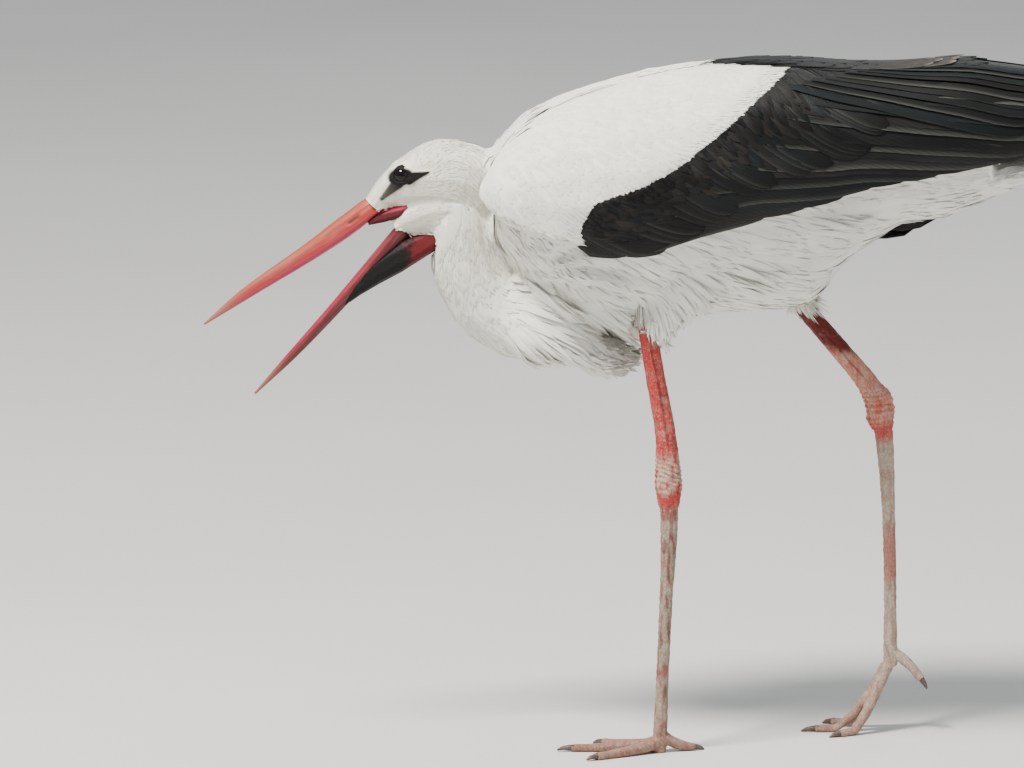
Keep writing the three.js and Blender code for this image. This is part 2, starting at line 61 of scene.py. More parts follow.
EYE_X = -234.6  # the eyes' place in bird millimetres, which gives the shift to the frame
eye_low, eye_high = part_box("eye_left")
EYE_RADIUS = (eye_high.z - eye_low.z) / MM / 2
EYE_HEIGHT = (eye_high.z + eye_low.z) / MM / 2
EYE_DEPTH = abs(eye_high.y + eye_low.y) / MM / 2
SHIFT = np.array([(eye_low.x + eye_high.x) / 2 / MM - EYE_X, 0.0, 0.0])


def place(points):
    """Bird millimetres to the frame's metres."""
    return (np.asarray(points, float) + SHIFT) * MM


def node_arrays(name):
    """A solid's corners in bird millimetres, and its faces."""
    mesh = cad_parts[name].data
    corners = np.empty(3 * len(mesh.vertices))
    mesh.vertices.foreach_get("co", corners)
    return corners.reshape(-1, 3) / MM - SHIFT, [tuple(p.vertices) for p in mesh.polygons]


# ---------------------------------------------------------------- numbers and curves


def smoothstep(value, start, end):
    t = np.clip((np.asarray(value, float) - start) / (end - start), 0, 1)
    return t * t * (3 - 2 * t)


def curve(*stations):
    """A smooth function through (position, value) stations that never overshoots them."""
    x = np.array([s[0] for s in stations], float)
    v = np.array([s[1] for s in stations], float)
    slope = np.diff(v) / np.diff(x)
    tangent = np.concatenate([slope[:1], np.zeros(len(x) - 2), slope[-1:]])
    a, b = slope[:-1], slope[1:]
    same = a * b > 0
    tangent[1:-1][same] = 2 * a[same] * b[same] / (a[same] + b[same])

    def at(position):
        p = np.clip(np.asarray(position, float), x[0], x[-1])
        i = np.clip(np.searchsorted(x, p, side="right") - 1, 0, len(x) - 2)
        h = x[i + 1] - x[i]
        t = (p - x[i]) / h
        return (v[i] * (2 * t**3 - 3 * t**2 + 1) + v[i + 1] * (3 * t**2 - 2 * t**3)
                + h * tangent[i] * (t**3 - 2 * t**2 + t) + h * tangent[i + 1] * (t**3 - t**2))

    return at


def unit(vectors):
    return vectors / np.maximum(np.linalg.norm(vectors, axis=-1, keepdims=True), 1e-9)


def tangent_to(vectors, normals):
    """Vectors laid flat on the surfaces with those normals."""
    return unit(vectors - normals * np.sum(vectors * normals, axis=-1, keepdims=True))


def near_segment(x, z, a, b):
    """Distance from points (x, z) to the segment a-b, and how far along it the nearest point is."""
    ax, az = a
    dx, dz = b[0] - ax, b[1] - az
    t = np.clip(((x - ax) * dx + (z - az) * dz) / (dx * dx + dz * dz), 0, 1)
    return np.hypot(x - ax - t * dx, z - az - t * dz), t


def field_noise(points, scale):
    """Smooth noise at the points, between about -0.8 and 0.8; scale may differ by axis."""
    return np.array([mathnoise.noise(Vector(p)) for p in points * scale])


# ---------------------------------------------------------------- meshes


def as_list(faces):
    return faces.tolist() if isinstance(faces, np.ndarray) else faces


def merged(parts):
    """Several (vertices, faces) as one."""
    vertices, faces, start = [], [], 0
    for corners, polygons in parts:
        vertices.append(corners)
        faces += [tuple(int(i) + start for i in polygon) for polygon in polygons]
        start += len(corners)
    return np.vstack(vertices), faces


def new_object(name, vertices, faces, smooth=True):
    mesh = bpy.data.meshes.new(name)
    mesh.from_pydata(vertices.tolist(), [], as_list(faces))
    mesh.polygons.foreach_set("use_smooth", np.full(len(mesh.polygons), smooth))
    mesh.update()
    piece = bpy.data.objects.new(name, mesh)
    bpy.context.scene.collection.objects.link(piece)
    return piece


def point_attribute(piece, name, values, kind="FLOAT"):
    layer = piece.data.attributes.new(name, kind, "POINT")
    values = np.asarray(values, float)
    if kind == "FLOAT_COLOR":
        values = np.column_stack([values, np.ones(len(values))])
        layer.data.foreach_set("color", values.ravel())
    else:
        layer.data.foreach_set("value", values)


def uv_layer(piece, name, per_vertex):
    """A UV map whose corners take the values of their vertices."""
    mesh = piece.data
    corner = np.empty(len(mesh.loops), int)
    mesh.loops.foreach_get("vertex_index", corner)
    mesh.uv_layers.new(name=name).data.foreach_set("uv", per_vertex[corner].ravel())


def finish_piece(piece, nodes):
    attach(piece, "root")
    if nodes:
        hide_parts(*nodes)


def ring_quads(count, around):
    """Faces between closed rings that each have that many points."""
    faces = []
    for i in range(count - 1):
        for k in range(around):
            a, b = i * around + k, i * around + (k + 1) % around
            faces.append((a, b, b + around, a + around))
    return faces


def fused(names, voxel, rounds):
    """Solids joined into one closed, evenly meshed and smoothed surface, in bird millimetres."""
    work = new_object("fused_work", *merged([node_arrays(n) for n in names]))
    remesh = work.modifiers.new("remesh", "REMESH")
    remesh.mode = "VOXEL"
    remesh.voxel_size = voxel
    soften = work.modifiers.new("soften", "SMOOTH")
    soften.factor = 0.5
    soften.iterations = rounds
    result = work.evaluated_get(bpy.context.evaluated_depsgraph_get()).to_mesh()
    corners = np.empty(3 * len(result.vertices))
    result.vertices.foreach_get("co", corners)
    polygons = np.array([tuple(p.vertices) for p in result.polygons])
    bpy.data.objects.remove(work, do_unlink=True)
    return corners.reshape(-1, 3), polygons


def vertex_normals(vertices, faces):
    a, b, c, d = (vertices[faces[:, k]] for k in range(4))
    face_normal = np.cross(c - a, d - b)
    normals = np.zeros_like(vertices)
    for k in range(4):
        np.add.at(normals, faces[:, k], face_normal)
    return unit(normals)


def spread_out(values, faces, rounds):
    """Values at the vertices, averaged over the faces round after round."""
    count = np.zeros(len(values))
    for k in range(4):
        np.add.at(count, faces[:, k], 1)
    shape = (-1,) + (1,) * (values.ndim - 1)
    for _ in range(rounds):
        mean = values[faces].mean(axis=1)
        total = np.zeros_like(values)
        for k in range(4):
            np.add.at(total, faces[:, k], mean)
        values = total / np.maximum(count, 1).reshape(shape)
    return values


class Surface:
    """A mesh that points can be put back on."""

    def __init__(self, vertices, faces):
        self.vertices, self.faces = vertices, faces
        self.tree = BVHTree.FromPolygons(vertices.tolist(), as_list(faces))

    def snap(self, points):
        on, normal = np.empty_like(points), np.empty_like(points)
        for i, p in enumerate(points):
            hit = self.tree.find_nearest(Vector(p))
            on[i], normal[i] = hit[0], hit[1]
        return on, normal

    def distance(self, points):
        return np.array([self.tree.find_nearest(Vector(p))[3] for p in points])


# ---------------------------------------------------------------- the skin

WING_TRACTS = ["wing_coverts", "wing_greater_coverts", "wing_secondaries", "wing_primaries"]
WING_NODES = [f"{tract}_{side}" for side in SIDES for tract in WING_TRACTS]
BODY_NODES = ["head", "neck", "breast_plumes", "trunk", "tail", "thigh_left", "thigh_right"] + WING_NODES
FACE_NODES = ["head", "throat_skin", "gape"]
DIGITS = ["toe2", "toe3", "toe4", "hallux"]

COAT_DEPTH = {  # from the feathers' outer surface to the skin, by tract, in millimetres
    "head": 1.1, "neck": 2.6, "breast_plumes": 4.0, "trunk": 2.8, "tail": 1.0, "thigh": 3.0,
    "wing_coverts": 2.2, "wing_greater_coverts": 2.0, "wing_secondaries": 1.6, "wing_primaries": 0.9,
}


def tract_of(node):
    return node.replace("_left", "").replace("_right", "")


def nearest_nodes(points, names):
    """For each point, the index in names of the solid that it lies nearest to."""
    distances = [Surface(*node_arrays(n)).distance(points) for n in names]
    return np.argmin(np.array(distances), axis=0)


def furrows(points):
    """Where the plumage fills the furrows between the wings and the back and behind the foot of the neck."""
    x, y, z = points[:, 0], np.abs(points[:, 1]), points[:, 2]
    back = smoothstep(z, 452, 480) * smoothstep(y, 66, 44) * smoothstep(x, 110, 60)
    from_crease, _ = near_segment(x, z, (-142, 382), (-82, 334))
    return np.maximum(back, smoothstep(from_crease, 24, 9))[:, None]


body_vertices, body_faces = fused(BODY_NODES, voxel=2.4, rounds=8)
body_label = nearest_nodes(body_vertices, BODY_NODES)
body_depth = spread_out(np.array([COAT_DEPTH[tract_of(n)] for n in BODY_NODES])[body_label], body_faces, 6)
body_vertices = body_vertices - vertex_normals(body_vertices, body_faces) * body_depth[:, None]
body_vertices = (body_vertices
                 + furrows(body_vertices) * (spread_out(body_vertices, body_faces, 24) - body_vertices))
body_normal = vertex_normals(body_vertices, body_faces)

PLUME_FAN = np.array([-176.0, 0.0, 372.0])  # the feathers of the breast fan out from here
FOLD_TURN = 0.25  # the angle between folds, in radians
FOLD_HEIGHT = 3.8  # in millimetres


def fold_relief(points, label):
    """Soft folds that fan out over the breast from the foot of the neck, in millimetres outwards."""
    away = points - PLUME_FAN
    reach = np.hypot(away[:, 0], away[:, 2])
    angle = np.arctan2(away[:, 2], away[:, 0])
    drift = field_noise(points, 0.016)
    fine = field_noise(points, 0.05)
    wave = np.sin(2 * math.pi * angle / FOLD_TURN + 5.0 * drift + 1.6 * fine)
    share = smoothstep(reach, 30, 78) * smoothstep(reach, 210, 130) * smoothstep(points[:, 2], 452, 420)
    tracts = np.isin(label, [BODY_NODES.index(n) for n in ("breast_plumes", "trunk")]).astype(float)
    return FOLD_HEIGHT * (wave * (0.6 + 0.6 * fine) - 0.35) * share * spread_out(tracts, body_faces, 6)


body_vertices = body_vertices + body_normal * fold_relief(body_vertices, body_label)[:, None]
body_normal = vertex_normals(body_vertices, body_faces)
body = Surface(body_vertices, body_faces)

face_vertices, face_faces = fused(FACE_NODES, voxel=0.8, rounds=5)
face_label = nearest_nodes(face_vertices, FACE_NODES)
face_normal = vertex_normals(face_vertices, face_faces)

LEG_NODES = [f"{bone}_{side}" for side in SIDES for bone in ["tibia", "tarsus"] + DIGITS]
leg_vertices, leg_faces = fused(LEG_NODES, voxel=0.8, rounds=6)

# ---------------------------------------------------------------- markings

WHITE = np.array([0.90, 0.88, 0.81])
CREAM = np.array([0.84, 0.79, 0.65])
BLACK = np.array([0.014, 0.014, 0.0145])
BLUE_BLACK = np.array([0.0062, 0.0086, 0.0096])
BROWN_BLACK = np.array([0.0190, 0.0162, 0.0138])
BARE_BLACK = np.array([0.0028, 0.0026, 0.0030])
THROAT_RED = np.array([0.095, 0.006, 0.008])
GAPE_RED = np.array([0.055, 0.003, 0.005])
RICTUS_PINK = np.array([0.36, 0.022, 0.070])
LEG_RED = np.array([0.43, 0.040, 0.038])
# A dark red that serves for streaks and dirt on the legs, and also for painted shade and shadow.
LEG_DARK_AND_SHADE = np.array([0.12, 0.014, 0.012])
LEG_CRUST = np.array([0.46, 0.36, 0.27])
LEG_SALMON = np.array([0.56, 0.150, 0.105])


def blend(a, b, share):
    share = np.asarray(share, float)[..., None]
    return a * (1 - share) + b * share


def bare_skin(points):
    """How far a point of the head lies in the black bare skin round the eye and in front of it."""
    x, z = points[:, 0], points[:, 2]
    ring = np.hypot((x + 236.0) / 9.6, (z - 456.3) / 7.0 - 0.02 * (x + 236.0))
    tail, along = near_segment(x, z, (-230, 455.6), (-214.0, 460.8))
    lore, down = near_segment(x, z, (-238.5, 451.5), (-251.0, 438.5))
    inside = np.maximum.reduce([
        smoothstep(ring, 1.18, 0.92),
        smoothstep(tail, 6.0 - 4.6 * along, 4.4 - 4.0 * along),
        smoothstep(lore, 6.4 - 3.8 * down, 4.0 - 3.0 * down) * (1.0 - 0.10 * down),
    ])
    return inside * (np.abs(points[:, 1]) > 6)


def face_paint(points, label):
    """Cream feathers, the black bare patch, and the bare skin of the throat and the gape."""
    colour = blend(np.tile(CREAM, (len(points), 1)), BARE_BLACK, bare_skin(points))
    mottle = field_noise(points, 0.30)
    throat = blend(BARE_BLACK, THROAT_RED, smoothstep(points[:, 0] + 9 * mottle, -234, -221))
    strip = smoothstep(points[:, 2] - np.interp(points[:, 0], [-262, -229], [422.8, 430.6]), -1.2, 1.2)
    gape = blend(GAPE_RED, RICTUS_PINK, strip)
    for node, paint in (("throat_skin", throat), ("gape", gape)):
        mask = label == FACE_NODES.index(node)
        colour[mask] = paint[mask]
    return colour


ANKLE_HEIGHT = {LEFT: 222, RIGHT: 262}
RED_STRETCH_HEIGHT = 143  # a cleaner, redder stretch of the right tarsus


def leg_paint(points):
    """Red above, crusted pale round the ankle with red under it, and soiled and streaked below; the far shank
    above its ankle is darkened as painted shadow.
    """
    z = points[:, 2]
    right = points[:, 1] > 0
    ankle = np.where(right, ANKLE_HEIGHT[RIGHT], ANKLE_HEIGHT[LEFT])
    cloud = field_noise(points, 0.07)
    streak = field_noise(points, np.array([0.30, 0.30, 0.07]))
    speck = field_noise(points, 0.9)
    upper = blend(LEG_RED, LEG_CRUST, 0.40 * smoothstep(speck + 0.5 * streak, 0.05, 0.5))
    upper = blend(upper, LEG_DARK_AND_SHADE, 0.45 * smoothstep(streak, 0.12, 0.4))
    # Painted shadow: the far shank above its ankle lies in the body's shade, so it is painted dark.
    upper = blend(upper, LEG_DARK_AND_SHADE, right * smoothstep(z + 4 * cloud, ankle + 38, ankle + 43))
    joint = smoothstep(np.abs(z - ankle - 2 - right * 14 + 6 * cloud), 22 + right * 12, 12 + right * 10)
    ground = blend(upper, LEG_SALMON, 0.85 * right * joint)
    colour = blend(ground, LEG_CRUST, (0.78 - 0.30 * right) * joint * smoothstep(streak, 0.45, -0.15))
    band = np.exp(-((z - ankle + 16.5 + 3 * cloud) / 5.5) ** 2)
    colour = blend(colour, LEG_RED, (0.9 - 0.45 * right) * band)
    soiled = blend(LEG_CRUST * np.where(right, 0.95, 0.66)[:, None], LEG_RED * 0.30 + LEG_CRUST * 0.26,
                   (1 - 0.65 * right) * smoothstep(streak + 0.4 * cloud, -0.1, 0.3))
    dirt = (0.6 - 0.4 * right) * smoothstep(streak - 0.6 * cloud, 0.1, 0.4)
    soiled = blend(soiled, LEG_DARK_AND_SHADE * 0.5 + LEG_CRUST * 0.16, dirt)
    red_stretch = right * smoothstep(np.abs(z - RED_STRETCH_HEIGHT + 9 * cloud), 26, 14)
    soiled = blend(soiled, LEG_RED * 0.45 + LEG_CRUST * 0.4, red_stretch)
    colour = blend(colour, soiled, smoothstep(z, ankle - 20, ankle - 32))
    return blend(colour, LEG_DARK_AND_SHADE + LEG_CRUST * 0.35, 0.7 * smoothstep(z, 60, 8))


WHITE_BORDER = np.array([(-91, 380), (-91, 430), (-83, 446), (-52, 456), (-23, 471), (11, 497), (44, 524),
                         (69, 544), (98, 562)], float)
RIDGE_FROM, RIDGE_TO, RIDGE_HALF = -75, 85, 15  # the dark scapulars along the middle of the back
RIDGE_POINT = 0.35  # how far their white neighbours close over the ridge in front


def ridge_half(x):
    """Half the width of the dark ridge, which is negative in front of its point."""
    return RIDGE_HALF * ((1 + RIDGE_POINT) * smoothstep(x, RIDGE_FROM, RIDGE_TO) - RIDGE_POINT)


def white_reach(points):
    """How far, along X, a point of the wing is inside the white shoulder: negative is in the black."""
    x, y, z = points[:, 0], np.abs(points[:, 1]), points[:, 2]
    inside = np.interp(z, WHITE_BORDER[:, 1], WHITE_BORDER[:, 0]) - x
    return np.minimum(inside, 3.0 * (y - ridge_half(x)))


on_wing = np.array([n in WING_NODES for n in BODY_NODES])[body_label]
dark = on_wing & (white_reach(body_vertices) < 2)
on_back = (np.abs(body_vertices[:, 1]) < ridge_half(body_vertices[:, 0])) & (body_vertices[:, 2] > 500)
LEG_AXIS = {  # side-on places of the bare legs' middle lines, as (x, z)
    LEFT: [(-32, 0), (-29, 75), (-26, 142), (-24.6, 172), (-24.8, 197), (-25.4, 224), (-27.5, 255),
           (-36, 303), (-43.2, 348)],
    RIGHT: [(152.4, 53), (152, 120), (150.5, 178), (148.4, 219), (146, 245), (143, 263), (133, 282),
            (115, 304), (92, 331), (78, 348)],
}
STANCE = 42  # from the middle of the bird to the middle of each leg
HEEL_HEIGHT, KNOB_HEIGHT = 271, 251  # the lumps behind and in front of the right ankle


def leg_relief(points):
    """Grooves down the shank, wrinkles round the ankle and plates on the tarsus, in millimetres outwards."""
    side = np.where(points[:, 1] > 0, RIGHT, LEFT)
    z = points[:, 2]
    middle = np.empty(len(points))
    ankle = np.empty(len(points))
    for which, line in LEG_AXIS.items():
        mask = side == which
        middle[mask] = np.interp(z[mask], [p[1] for p in line], [p[0] for p in line])
        ankle[mask] = ANKLE_HEIGHT[which]
    turn = np.arctan2((points[:, 1] - side * STANCE) * side, points[:, 0] - middle)
    drift = field_noise(points, 0.05)
    lumps = field_noise(points, 0.22)
    above = smoothstep(z, ankle + 12, ankle + 34)
    grooves = sum(np.exp(-((turn - centre - 0.25 * drift) / 0.24) ** 2)
                  for centre in (math.pi * 0.44, -math.pi * 0.44))
    joint = np.exp(-((z - ankle) / 17) ** 2)
    wrinkles = np.sin(2 * math.pi * (z / 4.2 + 1.3 * drift + 0.35 * np.cos(turn)))
    below = smoothstep(z, ankle - 14, ankle - 34) * smoothstep(z, 8, 30)
    front = np.exp(-((np.abs(turn) - math.pi) / 0.75) ** 2)
    plates = np.abs(np.sin(math.pi * (z / 5.2 + 0.4 * drift))) ** 0.5 - 0.7
    right = side == RIGHT
    heel = np.exp(-((z - HEEL_HEIGHT) / 7) ** 2) * np.exp(-(turn / 0.9) ** 2) * right
    knob = np.exp(-((z - KNOB_HEIGHT) / 7) ** 2) * np.exp(-((np.abs(turn) - math.pi) / 0.9) ** 2) * right
    return (2.6 * heel + 2.0 * knob
            - 0.85 * above * grooves + joint * (0.40 * wrinkles + 0.9 * lumps)
            + 0.30 * above * lumps + below * (0.45 * front * plates + 0.40 * lumps))


body_paint = np.tile(WHITE * 0.95, (len(body_vertices), 1))
body_paint[dark | on_back] = BLACK * 0.7

# ---------------------------------------------------------------- the face: lids and socket

EYE_TURN = math.radians(17)  # the eye looks a little forward
LID_OPENING = 44.5  # degrees from the eye's axis
LID_RINGS = [  # radius as a share of the eye's, and degrees behind the opening
    (0.99, 0.0), (1.035, -1.5), (1.075, 2.0), (1.07, 7.0), (1.06, 16.0), (1.05, 28.0), (0.96, 42.0),
]


def eye_frame(side):
    """The eye's centre, its outward axis, and the directions forward and up across it."""
    centre = np.array([EYE_X, side * EYE_DEPTH, EYE_HEIGHT])
    axis = np.array([-math.sin(EYE_TURN), side * math.cos(EYE_TURN), 0.0])
    up = np.array([0.0, 0.0, 1.0])
    return centre, axis, np.cross(up, axis) * -side, up


def ring_loft(rings):
    """A closed surface over rings of the same number of points, with a fan over each end."""
    count, around = rings.shape[:2]
    vertices = np.vstack([rings.reshape(-1, 3), rings[0].mean(axis=0), rings[-1].mean(axis=0)])
    faces = ring_quads(count, around)
    first, last = count * around, count * around + 1
    for k in range(around):
        n = (k + 1) % around
        faces.append((first, n, k))
        faces.append((last, (count - 1) * around + k, (count - 1) * around + n))
    return vertices, faces


def lid(side):
    """A thin rim of skin that hugs the eyeball, a little pointed in front and behind."""
    centre, axis, forward, up = eye_frame(side)
    around = 48
    turn = np.linspace(0, 2 * math.pi, around, endpoint=False)
    point = np.abs(np.cos(turn)) ** 6
    rings = []
    flat = np.cos(turn)[:, None] * forward + np.sin(turn)[:, None] * up
    for radius, reach in LID_RINGS:
        angle = np.radians(LID_OPENING + reach + 3.5 * point)[:, None]
        rings.append(centre + EYE_RADIUS * radius * (np.cos(angle) * axis + np.sin(angle) * flat))
    faces = ring_quads(len(rings), around)
    return np.vstack(rings), faces if side == LEFT else [quad[::-1] for quad in faces]


BROW_X, BROW_Z, BROW_HEIGHT = -235, 463, 1.5
FACE_INSET = 1.0  # the depth of the head's feathers
brow = np.exp(-((face_vertices[:, 0] - BROW_X) / 7.5) ** 2 - ((face_vertices[:, 2] - BROW_Z) / 3.6) ** 2)
face_inset = spread_out(np.where(face_label == FACE_NODES.index("head"), FACE_INSET, 0.0), face_faces, 3)
face_inset = face_inset * (1 - bare_skin(face_vertices)) - BROW_HEIGHT * brow
face_vertices = face_vertices - face_normal * face_inset[:, None]
face = Surface(face_vertices, face_faces)

leg_paints = leg_paint(leg_vertices)
relief = leg_relief(leg_vertices)
# Painted shade: the colour darkens in the grooves and hollows of the relief.
leg_paints = blend(leg_paints, LEG_DARK_AND_SHADE, 0.6 * smoothstep(relief, -0.2, -0.8))
leg_vertices = leg_vertices + vertex_normals(leg_vertices, leg_faces) * relief[:, None]
leg_vertices[:, 2] = np.maximum(leg_vertices[:, 2], 0.05)

skin_parts = [  # vertices, faces, paint and scaliness
    (body_vertices, body_faces, body_paint, 0.0),
    (face_vertices, face_faces, face_paint(face_vertices, face_label), 0.3),
    (leg_vertices, leg_faces, leg_paints, 1.0),
]
skin_parts += [(*lid(side), BARE_BLACK, 0.4) for side in SIDES.values()]
vertices, faces = merged([part[:2] for part in skin_parts])
skin = new_object("skin", place(vertices), faces)
paint = np.vstack([np.broadcast_to(part[2], part[0].shape) for part in skin_parts])
point_attribute(skin, "paint", paint, "FLOAT_COLOR")
point_attribute(skin, "scaliness", np.concatenate([np.full(len(part[0]), part[3]) for part in skin_parts]))
finish_piece(skin, BODY_NODES + ["throat_skin", "gape"] + LEG_NODES)

# ---------------------------------------------------------------- vanes

# (share of the length, share of the width) along a small feather
SMALL_SHAPE = [(0.0, 0.35), (0.25, 0.8), (0.55, 1.0), (0.8, 0.86), (0.93, 0.55), (1.0, 0.10)]
LANCE_SHAPE = [(0.0, 0.5), (0.2, 0.9), (0.45, 1.0), (0.7, 0.7), (0.9, 0.32), (1.0, 0.05)]


def vane_faces(count, rings, ring):
    """Quads along every vane, and the two end caps."""
    one = [(a, d, c, b) for a, b, c, d in ring_quads(rings, ring)]
    starts = np.arange(count) * rings * ring
    quads = (np.array(one)[None] + starts[:, None, None]).reshape(-1, 4)
    root = (np.arange(ring)[None] + starts[:, None]).tolist()
    tip = (((rings - 1) * ring + np.arange(ring)[::-1])[None] + starts[:, None]).tolist()
    return quads.tolist() + root + tip


PATCH = 0.003  # a tuft's patch on the bake map
NOD = 0.35  # how far a vane's shading turns towards its tip
VANE_ACROSS = np.linspace(-1, 1, 3)  # a small vane's corners: its two edges, and the ridge between them


def soft_normals(piece, normal, forward, across, ring_u, fullness, nod):
    """Shades each vane with the lie of the skin under it, turned a little across the vane and at its tip."""
    n, k = normal.shape[:2]
    ring = len(ring_u)
    top_count = np.argmax(ring_u) + 1
    nods = (np.linspace(0, 1, k) ** 4 * nod)[None, :, None, None]
    swell = np.reshape(fullness, (-1, 1, 1, 1)) * ring_u[None, None, :, None]
    top = unit(normal[:, :, None] + across[:, :, None] * swell + forward[:, :, None] * nods)
    edges = {top_count - 1: across, ring - 1: -across} if ring > top_count else {}
    quads = np.empty((n, k - 1, ring, 4, 3))
    for j in range(ring):
        m = (j + 1) % ring
        if 0 < m < top_count:
            a, b = top[:, :, j], top[:, :, m]
        else:
            a = b = edges.get(j, -normal)
        for corner, value in enumerate((a[:, :-1], a[:, 1:], b[:, 1:], b[:, :-1])):
            quads[:, :, j, corner] = value
    root = np.repeat(-forward[:, 0], ring, axis=0)
    tip = np.repeat(forward[:, -1], ring, axis=0)
    piece.data.normals_split_custom_set(np.vstack([quads.reshape(-1, 3), root, tip]).tolist())


def make_vanes(name, roots, path, normal, along, half, rise, ring_u, paint, fullness, nod, slot):
    """One joined mesh of closed vanes along paths (n, k, 3). The roots give their places on the bake map.

    Every ring of a vane has corners at ring_u across it, from -1 to 1 over its top and back below it. half is
    half its width and along its share of the length at each ring, and rise is each corner's height.
    """
    n, k = path.shape[:2]
    ring = len(ring_u)
    forward = unit(np.gradient(path, axis=1))
    across = unit(np.cross(normal, forward))
    vertices = (path[:, :, None, :]
                + across[:, :, None, :] * (half[:, :, None] * ring_u)[..., None]
                + normal[:, :, None, :] * rise[..., None])
    piece = new_object(name, place(vertices.reshape(-1, 3)), vane_faces(n, k, ring))
    vane_uv = np.column_stack([np.tile((ring_u + 1) / 2, n * k), np.tile(np.repeat(along, ring), n)])
    uv_layer(piece, "OFBake", np.repeat(body_unwrap(roots), k * ring, axis=0) + vane_uv * PATCH)
    uv_layer(piece, "vane", vane_uv)
    point_attribute(piece, "tone", np.repeat(rng.random(n), k * ring))
    point_attribute(piece, "paint", paint, "FLOAT_COLOR")
    soft_normals(piece, normal, forward, across, ring_u, fullness, nod)
    piece.data.materials.append(FEATHERS[slot])
    finish_piece(piece, [])


def small_vanes(name, roots, path, normal, width, lift, shape, camber, roll, paint, fullness, nod, slot):
    """Small feathers of one shape, arched by camber and turned by roll, with a paint for each path point."""
    along, breadth = np.array(shape).T
    half = breadth[None, :] * width[:, None] / 2
    rise = (lift[:, :, None]
            - camber * half[:, :, None] * VANE_ACROSS**2
            + roll[:, None, None] * VANE_ACROSS * half[:, :, None])
    paint = np.repeat(paint, len(VANE_ACROSS), axis=0)
    make_vanes(name, roots, path, normal, along, half, rise, VANE_ACROSS, paint, fullness, nod, slot)


# ---------------------------------------------------------------- roots and the lie of the coat

NEIGHBOURS = list(itertools.product((-1, 0, 1), repeat=3))
TRIES = 2.6  # random points drawn for each root's own area
LEAST_GAP = 0.80  # between roots, as a share of their spacing


def crowded(point, cell, grid, points, least):
    """Whether a root already kept in this cell or the next ones lies nearer than least."""
    for offset in NEIGHBOURS:
        for q in grid.get((cell[0] + offset[0], cell[1] + offset[1], cell[2] + offset[2]), ()):
            gap = points[q] - point
            if gap @ gap < least**2:
                return True
    return False


def scatter(surface, mask, spacing):
    """Evenly spaced random roots on the faces in mask; spacing has a value for every face."""
    a, b, c, d = (surface.vertices[surface.faces[:, k]] for k in range(4))
    area = np.linalg.norm(np.cross(c - a, d - b), axis=1) / 2 * mask
    number = rng.poisson(area / spacing**2 * TRIES)
    pick = np.repeat(np.arange(len(surface.faces)), number)
    rng.shuffle(pick)
    s, t = rng.random(len(pick))[:, None], rng.random(len(pick))[:, None]
    points = (a[pick] * (1 - s) + b[pick] * s) * (1 - t) + (d[pick] * (1 - s) + c[pick] * s) * t
    least = spacing[pick] * LEAST_GAP
    cells = [tuple(cell) for cell in np.floor(points / spacing[mask].max()).astype(int)]
    grid, kept = {}, []
    for i, cell in enumerate(cells):
        if not crowded(points[i], cell, grid, points, least[i]):
            grid.setdefault(cell, []).append(i)
            kept.append(i)
    return points[kept]


def trace(surface, roots, flow, length, shape, jitter, hug):
    """Paths that start at the roots and follow the flow over the surface.

    hug tells how closely they keep to it: one number, or one for each station of the shape.
    """
    along = np.array([s[0] for s in shape])
    hug = np.broadcast_to(hug, len(along))
    here, normal = surface.snap(roots)
    path, normals = [here], [normal]
    heading = tangent_to(flow(here), normal)
    yaw = rng.normal(0, jitter, len(roots))
    heading = unit(heading * np.cos(yaw)[:, None] + np.cross(normal, heading) * np.sin(yaw)[:, None])
    for k in range(1, len(along)):
        step = length * (along[k] - along[k - 1])
        free = here + heading * step[:, None]
        on, on_normal = surface.snap(free)
        here = free * (1 - hug[k]) + on * hug[k]
        normal = unit(normal * (1 - 0.8 * hug[k]) + on_normal * 0.8 * hug[k])
        turn = tangent_to(flow(here), normal)
        heading = tangent_to(heading * 0.55 + turn * 0.45, normal)
        path.append(here)
        normals.append(normal)
    return np.stack(path, axis=1), np.stack(normals, axis=1)


# Lines of the body that the coat follows, side on.
BILL_ROOT = np.array([-264.0, 0.0, 425.0])
NECK_LINE = np.array([(-191, 447), (-188, 420), (-184, 390), (-173, 358), (-147, 337), (-104, 330)], float)


def neck_flow(points):
    """Down the neck and back under the breast."""
    best = np.full(len(points), 1e9)
    direction = np.zeros_like(points)
    for a, b in zip(NECK_LINE[:-1], NECK_LINE[1:]):
        distance, _ = near_segment(points[:, 0], points[:, 2], a, b)
        closer = distance < best
        best[closer] = distance[closer]
        step = unit(np.array([b[0] - a[0], 0.0, b[1] - a[1]]))
        direction[closer] = step
    return direction


def head_flow(points):
    """Away from the bill's root, and down where the neck begins."""
    away = unit(points - BILL_ROOT)
    away[:, 1] *= 0.6
    down = np.array([0.45, 0.0, -0.9])
    share = smoothstep(points[:, 0], -215, -175)[:, None]
    return unit(away * (1 - share) + down * share)


def wing_flow(points):
    """Down and back over the shoulder, and along the feathers behind it."""
    x = points[:, 0]
    edge = np.interp(x, [-177, -88, -28, 60, 147, 256, 424], [442, 411, 408, 439, 461, 481, 519])
    back = np.interp(x, [-177, -134, -79, 0, 130, 256, 424], [456, 512, 532, 548, 545, 544, 523])
    share = np.clip((points[:, 2] - edge) / np.maximum(back - edge, 4), 0, 1)
    dip = np.interp(share, [0, 0.12, 0.35, 0.65, 0.85, 1], [3, 24, 42, 33, 16, 5])
    dip = dip * np.interp(x, [-90, 0, 80, 160, 300], [1, 0.92, 0.62, 0.3, 0.1])
    slope = np.interp(x, [-177, -88, -28, 30, 147, 424], [-30, -6, 3, 14, 11, 13]) * (1 - share)
    angle = np.radians(slope - dip)
    return np.column_stack([np.cos(angle), np.zeros(len(x)), np.sin(angle)])


